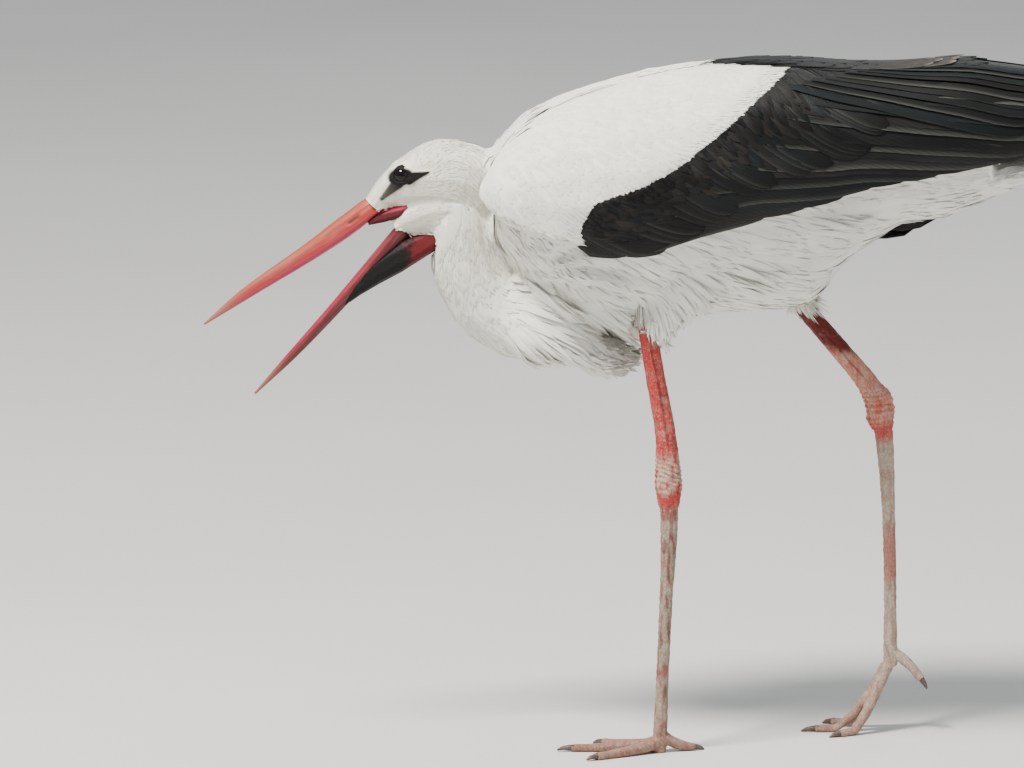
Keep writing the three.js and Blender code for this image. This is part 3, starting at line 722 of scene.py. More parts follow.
def trunk_flow(points):
    """Steeply down the breast, level at the belly and a little up behind it."""
    dip = np.radians(np.interp(points[:, 0], [-160, -100, -30, 60, 130, 240], [-48, -28, -16, -8, 6, 14]))
    return np.column_stack([np.cos(dip), np.zeros(len(dip)), np.sin(dip)])


def plume_flow(points):
    """Out of the middle of the fan and back."""
    fan = points - PLUME_FAN
    fan[:, 1] *= 0.25
    return unit(unit(fan) + np.array([0.35, 0.0, -0.12]))


def thigh_flow(points):
    """Back and down over the thigh, and straight down to the bare leg."""
    z = points[:, 2]
    low = smoothstep(z, 400, 352)[:, None]
    return unit(np.array([0.86, 0.0, -0.5]) * (1 - low) + np.array([0.16, 0.0, -0.99]) * low)


def tail_flow(points):
    return unit(np.column_stack([np.ones(len(points)), 0.0025 * points[:, 1], np.full(len(points), 0.2)]))


FLOWS = {
    "head": head_flow, "neck": neck_flow, "breast_plumes": plume_flow, "trunk": trunk_flow, "tail": tail_flow,
    "thigh": thigh_flow, "wing_coverts": wing_flow, "wing_greater_coverts": wing_flow,
    "wing_secondaries": wing_flow, "wing_primaries": wing_flow,
}


# The flow at every vertex of the body, evened out where tracts meet.
body_flow = np.zeros_like(body_vertices)
for index, node in enumerate(BODY_NODES):
    mask = body_label == index
    body_flow[mask] = FLOWS[tract_of(node)](body_vertices[mask])
body_flow = unit(spread_out(body_flow, body_faces, 10))


def surface_flow(surface, flow_at_vertices):
    """A flow that is read at the nearest face of the surface."""
    def flow(points):
        out = np.empty_like(points)
        for i, p in enumerate(points):
            face_index = surface.tree.find_nearest(Vector(p))[2]
            out[i] = flow_at_vertices[surface.faces[face_index][0]]
        return out

    return flow


body_flow_at = surface_flow(body, body_flow)
face_of_label = body_label[body_faces[:, 0]]

# ---------------------------------------------------------------- materials


class Nodes:
    """A short way to write a node tree."""

    def __init__(self, name):
        self.material = bpy.data.materials.new(name)
        self.material.use_nodes = True
        self.tree = self.material.node_tree
        self.shader = self.tree.nodes["Principled BSDF"]

    def add(self, kind, **settings):
        node = self.tree.nodes.new(kind)
        for key, value in settings.items():
            setattr(node, key, value)
        return node

    def link(self, a, b):
        self.tree.links.new(a, b)

    def attribute(self, name, socket="Color"):
        return self.add("ShaderNodeAttribute", attribute_name=name).outputs[socket]

    def uv(self, name):
        return self.add("ShaderNodeUVMap", uv_map=name).outputs["UV"]

    def object_position(self):
        return self.add("ShaderNodeTexCoord").outputs["Object"]

    def math(self, operation, a, b=None, c=None):
        node = self.add("ShaderNodeMath", operation=operation)
        for socket, value in zip(node.inputs, (a, b, c)):
            if value is None:
                continue
            if isinstance(value, (int, float)):
                socket.default_value = value
            else:
                self.link(value, socket)
        return node.outputs[0]

    def noise(self, vector, scale, detail=2.0, roughness=0.5):
        node = self.add("ShaderNodeTexNoise")
        node.inputs["Scale"].default_value = scale
        node.inputs["Detail"].default_value = detail
        node.inputs["Roughness"].default_value = roughness
        self.link(vector, node.inputs["Vector"])
        return node.outputs["Fac"]

    def voronoi_edges(self, vector, scale):
        node = self.add("ShaderNodeTexVoronoi", feature="DISTANCE_TO_EDGE")
        node.inputs["Scale"].default_value = scale
        self.link(vector, node.inputs["Vector"])
        return node.outputs["Distance"]

    def scaled(self, vector, scale):
        node = self.add("ShaderNodeMapping")
        node.inputs["Scale"].default_value = scale
        self.link(vector, node.inputs["Vector"])
        return node.outputs[0]

    def separate(self, vector):
        node = self.add("ShaderNodeSeparateXYZ")
        self.link(vector, node.inputs[0])
        return node.outputs

    def ramp(self, value, stops):
        node = self.add("ShaderNodeValToRGB")
        elements = node.color_ramp.elements
        while len(elements) < len(stops):
            elements.new(0.5)
        for element, (position, colour) in zip(elements, stops):
            element.position = position
            element.color = (*colour, 1)
        self.link(value, node.inputs[0])
        return node.outputs[0]

    def mix(self, a, b, share):
        node = self.add("ShaderNodeMix", data_type="RGBA")
        for socket, value in ((node.inputs[6], a), (node.inputs[7], b), (node.inputs[0], share)):
            if isinstance(value, (int, float)):
                socket.default_value = value
            elif isinstance(value, (tuple, list)):
                socket.default_value = (*value, 1)
            else:
                self.link(value, socket)
        return node.outputs[2]

    def span(self, value, low, high, to_low=0.0, to_high=1.0):
        node = self.add("ShaderNodeMapRange")
        self.link(value, node.inputs["Value"])
        for socket, number in zip(("From Min", "From Max", "To Min", "To Max"), (low, high, to_low, to_high)):
            node.inputs[socket].default_value = number
        return node.outputs[0]

    def bump(self, height, strength, distance):
        node = self.add("ShaderNodeBump")
        node.inputs["Strength"].default_value = strength
        node.inputs["Distance"].default_value = distance
        self.link(height, node.inputs["Height"])
        self.link(node.outputs[0], self.shader.inputs["Normal"])

    def set(self, **values):
        names = {"roughness": "Roughness", "specular": "Specular IOR Level", "coat": "Coat Weight"}
        for key, value in values.items():
            self.shader.inputs[names[key]].default_value = value


def feather_material(name, barb_contrast, tone_range, roughness, edge):
    """Barbs that slant from the shaft to the edge, a shaft line, and a tone of its own for each feather."""
    m = Nodes(name)
    u, v, _ = m.separate(m.uv("vane"))
    out = m.math("ABSOLUTE", m.math("SUBTRACT", u, 0.5))
    slant = m.math("SUBTRACT", m.math("MULTIPLY", v, 3.0), out)
    tone = m.attribute("tone", "Fac")
    ripple = m.noise(m.object_position(), 260.0, 2.0)
    phase = m.math("ADD", m.math("MULTIPLY", slant, 58.0), m.math("MULTIPLY", ripple, 5.0))
    barbs = m.math("MULTIPLY_ADD", m.math("SINE", phase), 0.5, 0.5)
    shaft = m.span(out, 0.0, 0.05, 1.0, 0.0)
    paint = m.attribute("paint")
    darker = m.mix((0, 0, 0), paint, m.span(barbs, 0.0, 1.0, 1 - barb_contrast, 1.0))
    low, high = tone_range
    toned = m.mix((0, 0, 0), darker, m.span(tone, 0.0, 1.0, low, high))
    worn = m.span(m.noise(m.object_position(), 55.0, 3.0), 0.35, 0.7)
    rim = m.math("MULTIPLY", m.span(out, 0.41, 0.5), m.math("MULTIPLY", m.span(v, 0.3, 1.0), worn))
    edged = m.mix(toned, edge, m.math("MULTIPLY", rim, 0.3))
    mottled = m.mix(edged, (0, 0, 0), m.span(m.noise(m.object_position(), 42.0, 3.0), 0.35, 0.8, 0.0, 0.12))
    m.link(mottled, m.shader.inputs["Base Color"])
    m.bump(m.math("ADD", barbs, m.math("MULTIPLY", shaft, 1.2)), 0.35, 0.0003)
    m.set(roughness=roughness, specular=0.16)
    return m.material


FEATHERS = {
    "white_feather": feather_material("white_feather", 0.05, (0.93, 1.0), 0.8, (0.84, 0.82, 0.75)),
    "black_feather": feather_material("black_feather", 0.30, (0.65, 1.0), 0.56, (0.11, 0.10, 0.085)),
}


def skin_material():
    """The painted skin, with creases between its scales and pale wear on the legs."""
    m = Nodes("skin")
    where = m.object_position()
    paint = m.attribute("paint")
    scaliness = m.attribute("scaliness", "Fac")
    cells = m.voronoi_edges(m.scaled(where, (1.0, 1.0, 0.62)), 420.0)
    plates = m.span(cells, 0.0, 0.12)
    patches = m.noise(where, 90.0, 4.0, 0.6)
    creases = m.math("MULTIPLY", m.math("SUBTRACT", 1.0, plates), m.math("MULTIPLY", scaliness, 0.35))
    creased = m.mix(paint, (0.02, 0.008, 0.006), creases)
    legs = m.span(scaliness, 0.5, 1.0)
    wear = m.math("MULTIPLY", m.span(patches, 0.5, 0.78), m.math("MULTIPLY", legs, 0.30))
    worn = m.mix(creased, (0.62, 0.5, 0.42), wear)
    m.link(worn, m.shader.inputs["Base Color"])
    fine = m.noise(where, 900.0, 3.0)
    height = m.math("MULTIPLY_ADD", plates, scaliness, m.math("MULTIPLY", fine, 0.5))
    m.bump(height, 0.6, 0.0004)
    m.set(roughness=0.58, specular=0.20)
    return m.material


skin.data.materials.append(skin_material())

# ---------------------------------------------------------------- small feathers

centres = body_vertices[body_faces].mean(axis=1)
centre_x, centre_y, centre_z = centres.T
facing = body_normal[body_faces].mean(axis=1)
BODY_LEVEL = ([-200, 0, 100, 250, 424], [440, 455, 460, 482, 515])  # x, and the height of the body's middle
from_middle = np.column_stack([np.zeros(len(centres)), centre_y, centre_z - np.interp(centre_x, *BODY_LEVEL)])
faces_out = np.sum(unit(from_middle) * facing, axis=1) > 0.15
plume_end = (facing[:, 0] > 0.6) & (centre_x > -84) & (centre_x < -50) & (centre_z < 340)
dark_face = (dark | on_back)[body_faces[:, 0]]


def tract_faces(*tracts):
    return np.isin(face_of_label, [i for i, n in enumerate(BODY_NODES) if tract_of(n) in tracts])


def tract_mask(*tracts):
    """The faces of these tracts that carry their coat, which are mostly the ones that face out."""
    chosen = tract_faces(*tracts)
    if tracts[0] in ("thigh", "neck"):
        return chosen
    if tracts[0] == "breast_plumes":
        return chosen & ~plume_end
    return chosen & (faces_out | (centre_x < -120)) & ~on_back[body_faces[:, 0]]


BODY_FRONT, BODY_LENGTH = -275, 720  # the stretch of X that the bake map covers


def body_unwrap(points):
    """The body unrolled: along it, and around it."""
    level = np.interp(points[:, 0], *BODY_LEVEL)
    angle = np.arctan2(points[:, 2] - level, points[:, 1])
    return np.column_stack([(points[:, 0] - BODY_FRONT) / BODY_LENGTH, (angle / math.pi + 1) / 2 * 0.99])


def white_paint(points):
    cream = smoothstep(points[:, 0], -120, -180) * smoothstep(points[:, 2], 330, 380)
    return blend(WHITE, CREAM, 0.45 * cream)


def black_paint(points):
    return np.tile(BLACK, (len(points), 1))


def head_paint(points):
    return blend(white_paint(points), BARE_BLACK, bare_skin(points))


def locks(roots, spacing):
    """Groups of neighbouring roots: for each root, its group's middle and the group's number."""
    heads = roots[rng.permutation(len(roots))[: max(4, int(len(roots) * (4.0 / spacing) ** 2))]]
    tree = KDTree(len(heads))
    for i, p in enumerate(heads):
        tree.insert(p, i)
    tree.balance()
    group = np.array([tree.find(p)[1] for p in roots])
    return heads[group], group


def coat(name, mask, spacing, length, width, lift, shape=LANCE_SHAPE, paint=white_paint, flow=body_flow_at,
         surface=body, keep=None, jitter=0.12, hug=1.0, root=-0.5, spread=0.25, fullness=0.30, nod=NOD,
         lock=0.0, pull=0.0, stagger=0.0, slot="white_feather"):
    """Small feathers over the faces in mask. spacing, length, width and lift may be functions of the roots.

    keep filters by (root, tip). lift is the tip's height over the skin and root the root's, and spread and
    jitter are how much heights and headings vary. lock, pull and stagger gather neighbours into soft locks.
    """
    at_faces = surface.vertices[surface.faces].mean(axis=1)
    space = spacing(at_faces) if callable(spacing) else np.full(len(at_faces), float(spacing))
    roots = scatter(surface, mask, space)

    def each(value):
        return value(roots) if callable(value) else np.full(len(roots), float(value))

    along = np.array([s[0] for s in shape])
    long = each(length) * rng.uniform(0.82, 1.15, len(roots))
    path, normal = trace(surface, roots, flow, long, shape, jitter, hug)
    if keep is not None:
        kept = keep(roots, path[:, -1])
        roots, path, normal = roots[kept], path[kept], normal[kept]
    wide = each(width) * rng.uniform(0.85, 1.12, len(roots))
    top = 1 + spread * rng.standard_normal(len(roots))
    high = root + ((top - root) * each(lift))[:, None] * along**0.7
    if lock:
        middle, group = locks(roots, lock)
        path = path + (middle - roots)[:, None, :] * (pull * along**1.5)[:, None]
        high = high + rng.random(group.max() + 1)[group][:, None] * stagger * along
    small_vanes(name, roots, path, normal, wide, high, shape, camber=0.12, roll=np.zeros(len(roots)),
                paint=paint(path.reshape(-1, 3)), fullness=fullness, nod=nod, slot=slot)


def graded(measure, *stations):
    """A size that follows a measure of the roots, straight between (measure, size) stations."""
    at, size = zip(*stations)

    def size_of(points):
        return np.interp(measure(points), at, size)

    return size_of


def from_bill(points):
    return np.linalg.norm(points - BILL_ROOT, axis=1)


def along_x(points):
    return points[:, 0]


def height(points):
    return points[:, 2]


def clear_of_eyes(roots, tips):
    distances = [np.linalg.norm(points - eye_frame(side)[0], axis=1)
                 for points in (roots, (roots + tips) / 2, tips) for side in SIDES.values()]
    return np.min(distances, axis=0) > EYE_RADIUS * 1.22


def shank_top(side):
    """The middle of a bare leg where it leaves the feathers, and the direction down it."""
    (x0, z0), (x1, z1) = LEG_AXIS[side][-1], LEG_AXIS[side][-2]
    return np.array([x0, side * STANCE, z0]), unit(np.array([x1 - x0, 0.0, z1 - z0]))


def clear_of_shanks(roots, tips):
    """Not the feathers whose tips would end inside a bare leg."""
    clear = np.ones(len(tips), bool)
    for side in SIDES.values():
        top, down = shank_top(side)
        offset = tips - top
        along = offset @ down
        clear &= (along < -3) | (np.linalg.norm(offset - along[:, None] * down, axis=1) > 9.5)
    return clear


def stays_white(roots, tips):
    """The white shoulder feathers end in a narrow serrated band along the border."""
    return white_reach(tips) > rng.uniform(-1.5, 4.0, len(tips))


def along_border(roots, tips):
    """Only the fine feathers that end at the border."""
    return (white_reach(tips) > rng.uniform(-4.5, 2.5, len(tips))) & (white_reach(tips) < 14)


face_centres = face_vertices[face_faces].mean(axis=1)
on_head = (face_label == FACE_NODES.index("head"))[face_faces[:, 0]]
feathered_face = on_head & (bare_skin(face_centres) < 0.12)
neck_mask = tract_mask("neck") | (tract_faces("breast_plumes") & (centre_x < -136))
under_wing = dark_face & ~faces_out & tract_faces(*WING_TRACTS) & (centre_x < 300)
border_zone = white_reach(centres)
border_mask = tract_mask(*WING_TRACTS) & (border_zone > -2) & (border_zone < 34)

coat("coat_head", feathered_face,
     spacing=graded(from_bill, (5, 0.95), (60, 1.75), (110, 2.4)),
     length=graded(from_bill, (5, 3.0), (30, 5.5), (60, 9.0), (110, 13.0)),
     width=graded(from_bill, (5, 0.9), (60, 1.8), (110, 2.8)),
     lift=graded(from_bill, (5, 0.45), (60, 0.7), (110, 1.1)),
     paint=head_paint, flow=head_flow, surface=face, jitter=0.07, root=-0.3, fullness=0.12, spread=0.15,
     keep=clear_of_eyes)
coat("coat_neck", neck_mask, spacing=2.3, length=21, width=4.6, lift=1.0, jitter=0.07, fullness=0.16,
     lock=13, pull=0.25, stagger=0.35, spread=0.10)
coat("coat_breast", tract_mask("breast_plumes"), spacing=3.0, length=graded(along_x, (-110, 50), (-72, 26)),
     width=6, lift=2.6, jitter=0.09, hug=[1, 1, 0.95, 0.8, 0.5, 0.3], lock=16, pull=0.72, stagger=3.4)
coat("coat_trunk", tract_mask("trunk") & (centre_x < 222), spacing=4.2, length=34, width=8.5, lift=1.2,
     jitter=0.09, fullness=0.12, lock=20, pull=0.3, stagger=1.2, keep=clear_of_shanks)
coat("coat_thighs", tract_mask("thigh"), spacing=2.6, length=graded(height, (352, 20), (378, 34)), width=4.6,
     lift=2.2, jitter=0.14, hug=[1, 0.9, 0.5, 0.2, 0.06, 0], lock=11, pull=0.45, stagger=2.2, fullness=0.25,
     keep=clear_of_shanks)
coat("coat_tail", tract_mask("tail") & (centre_x < 340), spacing=4.6, length=30, width=9, lift=1.0,
     shape=SMALL_SHAPE, jitter=0.05, hug=[1, 1, 0.9, 0.8, 0.7, 0.6], fullness=0.12)
coat("coat_wing_under", under_wing, spacing=5.5, length=42, width=9, lift=0.9, shape=SMALL_SHAPE,
     paint=black_paint, jitter=0.04, hug=[1, 1, 0.9, 0.7, 0.5, 0.3], fullness=0.25, slot="black_feather")
coat("coat_wing_white", tract_mask("wing_coverts", "wing_greater_coverts"), spacing=3.9, length=25, width=9,
     lift=0.55, shape=SMALL_SHAPE, jitter=0.08, keep=stays_white, fullness=0.05, spread=0.08, nod=0.08)
coat("coat_wing_border", border_mask, spacing=2.2, length=15, width=3, lift=0.9, keep=along_border,
     fullness=0.05, spread=0.1, nod=0.08)


def brush(name, roots, heading, normal, length, width, spread=0.07):
    """Soft feathers that stand out straight along the headings, each flat across its normal."""
    along = np.array([s[0] for s in LANCE_SHAPE])
    heading = unit(heading + spread * rng.standard_normal(roots.shape))
    path = roots[:, None] + heading[:, None] * (length[:, None] * along)[..., None]
    normals = np.repeat(tangent_to(normal, heading)[:, None], len(along), axis=1)
    roll = 0.3 * rng.standard_normal(len(roots))
    wide = width * rng.uniform(0.8, 1.2, len(roots))
    small_vanes(name, roots, path, normals, wide, np.zeros(path.shape[:2]), LANCE_SHAPE, camber=0.2,
                roll=roll, paint=white_paint(path.reshape(-1, 3)), fullness=0.3, nod=NOD,
                slot="white_feather")


def plume_end_brush():
    """Closes the rear end of the breast plumes."""
    end = tract_faces("breast_plumes") & (centre_x > -84) & (facing[:, 0] > 0.15)
    roots = scatter(body, end, np.full(len(end), 1.9)) - [5.0, 0, 0]
    radial = unit(np.column_stack([0.8 * np.ones(len(roots)), roots[:, 1] / 17, (roots[:, 2] - 304) / 6]))
    heading = np.array([0.9, 0.0, -0.34]) + 0.12 * radial
    brush("coat_plume_end", roots, heading, radial, rng.uniform(12, 22, len(roots)), 5.5)


def belly_brush():
    """Long feathers of the breast that fill the corner between the plumes, the belly and the near leg."""
    below = tract_faces("trunk") & (facing[:, 2] < -0.4)
    below &= (np.abs(centre_x + 88) < 30) & (np.abs(centre_y) < 46)
    roots = scatter(body, below, np.full(len(below), 3.6))
    heading = np.array([0.84, 0.0, -0.54])
    outward = np.column_stack([np.zeros(len(roots)), np.sign(roots[:, 1]), np.full(len(roots), -0.25)])
    furthest = np.where(np.abs(roots[:, 1]) > 26, -55.0, -42.0)
    length = np.minimum(rng.uniform(24, 46, len(roots)), (furthest - roots[:, 0]) / heading[0])
    kept = length > 12
    brush("coat_belly", roots[kept], heading, outward[kept], length[kept], 6.0)


def fringe(word, side, count=150):
    """The ragged end of the thigh's feathers round the bare leg."""
    top, down = shank_top(side)
    rear = np.cross(down, [0.0, 1.0, 0.0])
    turn = rng.uniform(0, 2 * math.pi, count)
    radial = np.cos(turn)[:, None] * rear + np.sin(turn)[:, None] * np.array([0.0, 1.0, 0.0])
    radial = radial * np.sign(rear[0])
    roots = top - 15.0 * down + radial * rng.uniform(3.0, 5.4, count)[:, None]
    behind = smoothstep(np.cos(turn), -0.5, 0.9)
    length = (23 + 16 * behind) * rng.uniform(0.8, 1.1, count)
    brush(f"coat_fringe_{word}", roots, down + 0.14 * radial, radial, length, 2.3, spread=0.13)


plume_end_brush()
belly_brush()
for word, side in SIDES.items():
    fringe(word, side)

LOOSE_PATCHES = [(32, 384, 22, 13), (92, 429, 28, 8)]  # lit feathers that stand off the flank: x, z and reach
loose = np.any([np.hypot((centre_x - x) / wide, (centre_z - z) / high) < 1
                for x, z, wide, high in LOOSE_PATCHES], axis=0)
coat("coat_flank", tract_mask("trunk") & loose, spacing=7, length=26, width=5, lift=5, jitter=0.35,
     hug=[1, 0.9, 0.7, 0.5, 0.35, 0.2], lock=16, pull=0.3, stagger=2.0)

# ---------------------------------------------------------------- quills of the wing


class WingMap:
    """The outer face of a folded wing, by x along the bird and h from the lower edge (0) to the back (1)."""

    STATIONS = np.linspace(-170, 421, 110)
    ROWS = 28
    OUTSIDE = 260  # where the rays start, farther out than any part of the wing

    def __init__(self, word, side):
        corners, faces = merged([node_arrays(f"{tract}_{word}") for tract in WING_TRACTS])
        tree = BVHTree.FromPolygons(corners.tolist(), faces)
        level = np.interp(self.STATIONS, [-177, 0, 100, 250, 424], [448, 455, 460, 484, 520])
        table = []
        for x, z in zip(self.STATIONS, level):
            hits = []
            for angle in np.radians(np.arange(-80, 90, 2.5)):
                out = Vector((0, side * math.cos(angle), math.sin(angle)))
                hit = tree.ray_cast(Vector((x, 0, z)) + out * self.OUTSIDE, -out, self.OUTSIDE + 2)
                if hit[0] is not None:
                    hits.append(hit[0])
            hits = np.array(hits)
            reach = np.concatenate([[0], np.cumsum(np.linalg.norm(np.diff(hits, axis=0), axis=1))])
            share = np.linspace(0, reach[-1], self.ROWS)
            table.append(np.column_stack([np.interp(share, reach, hits[:, k]) for k in range(3)]))
        table = np.array(table)
        for _ in range(6):
            table[1:-1] = (table[:-2] + 2 * table[1:-1] + table[2:]) / 4
        for _ in range(2):
            table[:, 1:-1] = (table[:, :-2] + 2 * table[:, 1:-1] + table[:, 2:]) / 4
        self.table = table
        along = np.gradient(table, axis=0)
        up = np.gradient(table, axis=1)
        self.normals = unit(np.cross(along, up)) * -side

    def look(self, grid, x, h):
        first, second = self.STATIONS[:2]
        i = np.clip((x - first) / (second - first), 0, len(self.STATIONS) - 1.001)
        j = np.clip(h * (self.ROWS - 1), 0, self.ROWS - 1.001)
        a, b = i.astype(int), j.astype(int)
        s, t = (i - a)[..., None], (j - b)[..., None]
        return ((grid[a, b] * (1 - s) + grid[a + 1, b] * s) * (1 - t)
                + (grid[a, b + 1] * (1 - s) + grid[a + 1, b + 1] * s) * t)

    def at(self, x, h):
        """Points and normals, carried straight on past the map's ends."""
        point = self.look(self.table, x, h)
        point[..., 0] = x
        step = 0.05
        low, high = (self.look(self.table, x, np.full_like(h, value)) for value in (0.0, step))
        point += (high - low) / step * np.minimum(h, 0)[..., None]
        return point, unit(self.look(self.normals, x, h))

    def h_of(self, x, z):
        """The share h at which the outer face reaches height z."""
        column = self.look(self.table, np.full(self.ROWS, float(x)), np.linspace(0, 1, self.ROWS))
        return float(np.interp(z, column[:, 2], np.linspace(0, 1, self.ROWS)))


PAINTED_EDGE_HIGHLIGHT = np.array([0.115, 0.120, 0.105])  # a painted highlight: the lit edge of a feather
WORN_TIP = np.array([0.28, 0.24, 0.19])
BURIAL = 5.6  # how deep under the wing's outer face a hidden part of a quill lies
QUILL_ALONG = np.linspace(0, 1, 15) ** 0.85
QUILL_TOP = np.linspace(-1, 1, 7)
QUILL_ACROSS = np.concatenate([QUILL_TOP, QUILL_TOP[::-1]])
QUILL_UNDER = np.repeat([0.0, 1.0], len(QUILL_TOP))
QUILL_THICKNESS = 0.45
ROUND_TIP = curve((0, 0.30), (0.12, 0.75), (0.35, 1.0), (0.75, 0.97), (0.9, 0.78), (0.965, 0.5), (1, 0.12))
POINTED_TIP = curve((0, 0.35), (0.15, 0.85), (0.45, 1.0), (0.7, 0.8), (0.88, 0.5), (0.96, 0.28), (1, 0.06))
COVERT_TIP = curve((0, 0.35), (0.2, 0.8), (0.5, 1.0), (0.78, 0.88), (0.91, 0.6), (0.975, 0.3), (1, 0.06))


class QuillSet:
    """Collects long feathers and makes them one piece.

    side tells which edge of a feather is its lower one, and edge how strongly a painted highlight lights that
    edge.
    """

    def __init__(self, side=LEFT):
        self.side = side
        self.quills = []

    def add(self, path, normal, width, lift, roll, shape, paint, edge=0.0):
        paint = np.broadcast_to(paint, path.shape)
        self.quills.append((path, normal, width, lift, roll, shape(QUILL_ALONG), paint, edge))

    def build(self, name, slot):
        path, normal, width, lift, roll, shape, paint, edge = map(np.array, zip(*self.quills))
        n, k = path.shape[:2]
        half = shape * width[:, None] / 2
        shaft = np.exp(-(QUILL_ACROSS / 0.10) ** 2) * (1 - QUILL_UNDER)
        rise = (lift[:, :, None]
                - 0.07 * half[:, :, None] * np.abs(QUILL_ACROSS) ** 1.7
                + roll[:, None, None] * QUILL_ACROSS * np.minimum(half, 9)[:, :, None]
                + QUILL_THICKNESS * (shaft - QUILL_UNDER))
        # pale is the share of the painted highlight along each feather's lower edge.
        pale = edge[:, None, None] * np.sin(math.pi * QUILL_ALONG)[None, :, None] ** 0.5
        pale = pale * smoothstep(QUILL_ACROSS * self.side, 0.6, 1.0)
        paint = blend(np.broadcast_to(paint[:, :, None], (n, k, len(QUILL_ACROSS), 3)), PAINTED_EDGE_HIGHLIGHT, pale)
        fullness = np.interp(width, [10, 20], [0.16, 0.34])
        make_vanes(name, path[:, 0], path, normal, QUILL_ALONG, half, rise, QUILL_ACROSS,
                   paint.reshape(-1, 3), fullness, NOD, slot)


class WingQuills(QuillSet):
    """The long feathers of one folded wing, laid over its map."""

    def __init__(self, word, side):
        super().__init__(side)
        self.wing = WingMap(word, side)

    def lay(self, start, end, bow, width, lift, roll, shape, paint, edge=0.0):
        """A feather from start to end, both (x, h), with its lift over the map from root to tip.

        Its root, and whatever passes under the white shoulder, lies below the skin.
        """
        t = QUILL_ALONG
        x = start[0] + (end[0] - start[0]) * t
        h = start[1] + (end[1] - start[1]) * t + bow * np.sin(math.pi * t)
        path, normal = self.wing.at(x, h)
        buried = np.maximum(smoothstep(white_reach(path), -2, 6), smoothstep(t, 0.08, 0.0))
        cloud = field_noise(path, np.array([0.010, 0.030, 0.055]))
        rise = (lift[0] + (lift[1] - lift[0]) * t) * (1 - buried) - BURIAL * buried
        self.add(path, normal, width, rise, roll * self.side, shape, paint * (1 + 0.9 * cloud)[:, None], edge)

    def lay_tip(self, x1, z1, dip, length, bow, width, lift, roll, shape, paint, edge=0.0):
        """A feather whose tip is at (x1, z1) and that runs down to it at a slope of dip radians."""
        x0 = x1 - length * math.cos(dip)
        h0 = min(self.wing.h_of(x0, z1 + length * math.sin(dip)), 0.985)
        self.lay((x0, h0), (x1, self.wing.h_of(x1, z1)), bow, width, lift, roll, shape, paint, edge)


def own_black(brown_share):
    """A feather's own black: some are browner and paler, others blue-black."""
    return blend(BLUE_BLACK, BROWN_BLACK, brown_share * 2 * rng.random()) * rng.uniform(0.7, 1.5)


def flight_feathers(quills, count=18):
    """From the lowest secondary to the highest primary."""
    for i in range(count):
        s = i / (count - 1)
        inner = 0 < i < count - 1
        start = (np.interp(s, [0, 1], [-72, 96]),
                 np.interp(s, [0, 0.5, 1], [0.06, 0.42, 0.88]) + rng.uniform(-0.02, 0.02) * inner)
        end = (np.interp(s, [0, 0.2, 0.4, 0.6, 0.8, 1], [62, 160, 252, 322, 380, 421]) - rng.uniform(0, 9),
               np.interp(s, [0, 0.4, 0.6, 0.8, 1], [0.02, 0.04, 0.10, 0.26, 0.5])
               + 0.012 * rng.uniform(-1, 1) * (i > 3))
        width = np.interp(s, [0, 0.5, 0.8, 1], [21, 27, 28, 22]) * rng.uniform(0.92, 1.12)
        lift = (-1.4 + 0.9 * s, 0.4 + 1.0 * s + rng.uniform(0, 0.4))
        shape = ROUND_TIP if s < 0.7 else POINTED_TIP
        quills.lay(start, end, 0.03, width, lift, rng.uniform(0.12, 0.24), shape, own_black(0.30),
                   0.6 * (rng.random() < 0.4))


def tertials(quills, count=9):
    """They come down over the flight feathers from under the scapulars."""
    for i in range(count):
        s = i / (count - 1)
        start = (52 + 62 * s, 0.72 + 0.22 * s)
        end = (258 + 122 * s - rng.uniform(0, 8), 0.22 + 0.42 * s)
        quills.lay(start, end, 0.035, 19 * rng.uniform(0.85, 1.1), (0.4, 2.0 + 0.6 * s + rng.uniform(0, 0.5)),
                   rng.uniform(0.14, 0.28), ROUND_TIP, own_black(0.35) * 0.9, 0.7 * (i % 3 == 1))


# where the tips of the greater coverts step up across the wing, as (x, z), and their slope in degrees by x
COVERT_TIPS = np.array([(-58, 409), (-30, 413), (0, 427), (21, 439), (53, 460), (95, 476), (129, 487),
                        (147, 503), (169, 521), (194, 536)], float)
COVERT_DIP = curve((-62, 4), (0, 20), (53, 27), (110, 24), (169, 14), (196, 6))


def greater_coverts(quills, count=32):
    """Their tips bunch a little at each step."""
    steps = len(COVERT_TIPS) - 1
    for i in range(count):
        share = i / (count - 1) * steps
        step = round(share)
        s = step + 0.55 * (share - step)
        x1 = np.interp(s, range(steps + 1), COVERT_TIPS[:, 0]) + rng.uniform(-4, 4)
        z1 = np.interp(s, range(steps + 1), COVERT_TIPS[:, 1])
        dip = math.radians(float(COVERT_DIP(x1)) + 8)
        quills.lay_tip(x1, z1, dip, rng.uniform(82, 98), -0.035, 19 * rng.uniform(0.85, 1.1), (-1.2, 1.6),
                       0.14, ROUND_TIP, own_black(0.25) * 0.8, 0.25 * rng.random())


def point_along(line, s):
    """The point at share s of a line's points."""
    shares = np.linspace(0, 1, len(line))
    return np.array([np.interp(s, shares, line[:, k]) for k in (0, 1)])


# rows of the smaller coverts: share of the way to the greater coverts' tips, length, width and extra slope
COVERT_ROWS = [(0.68, 72, 12, 10), (0.50, 66, 10, 15), (0.34, 60, 8.5, 20), (0.20, 54, 7, 25),
               (0.08, 46, 6, 30)]


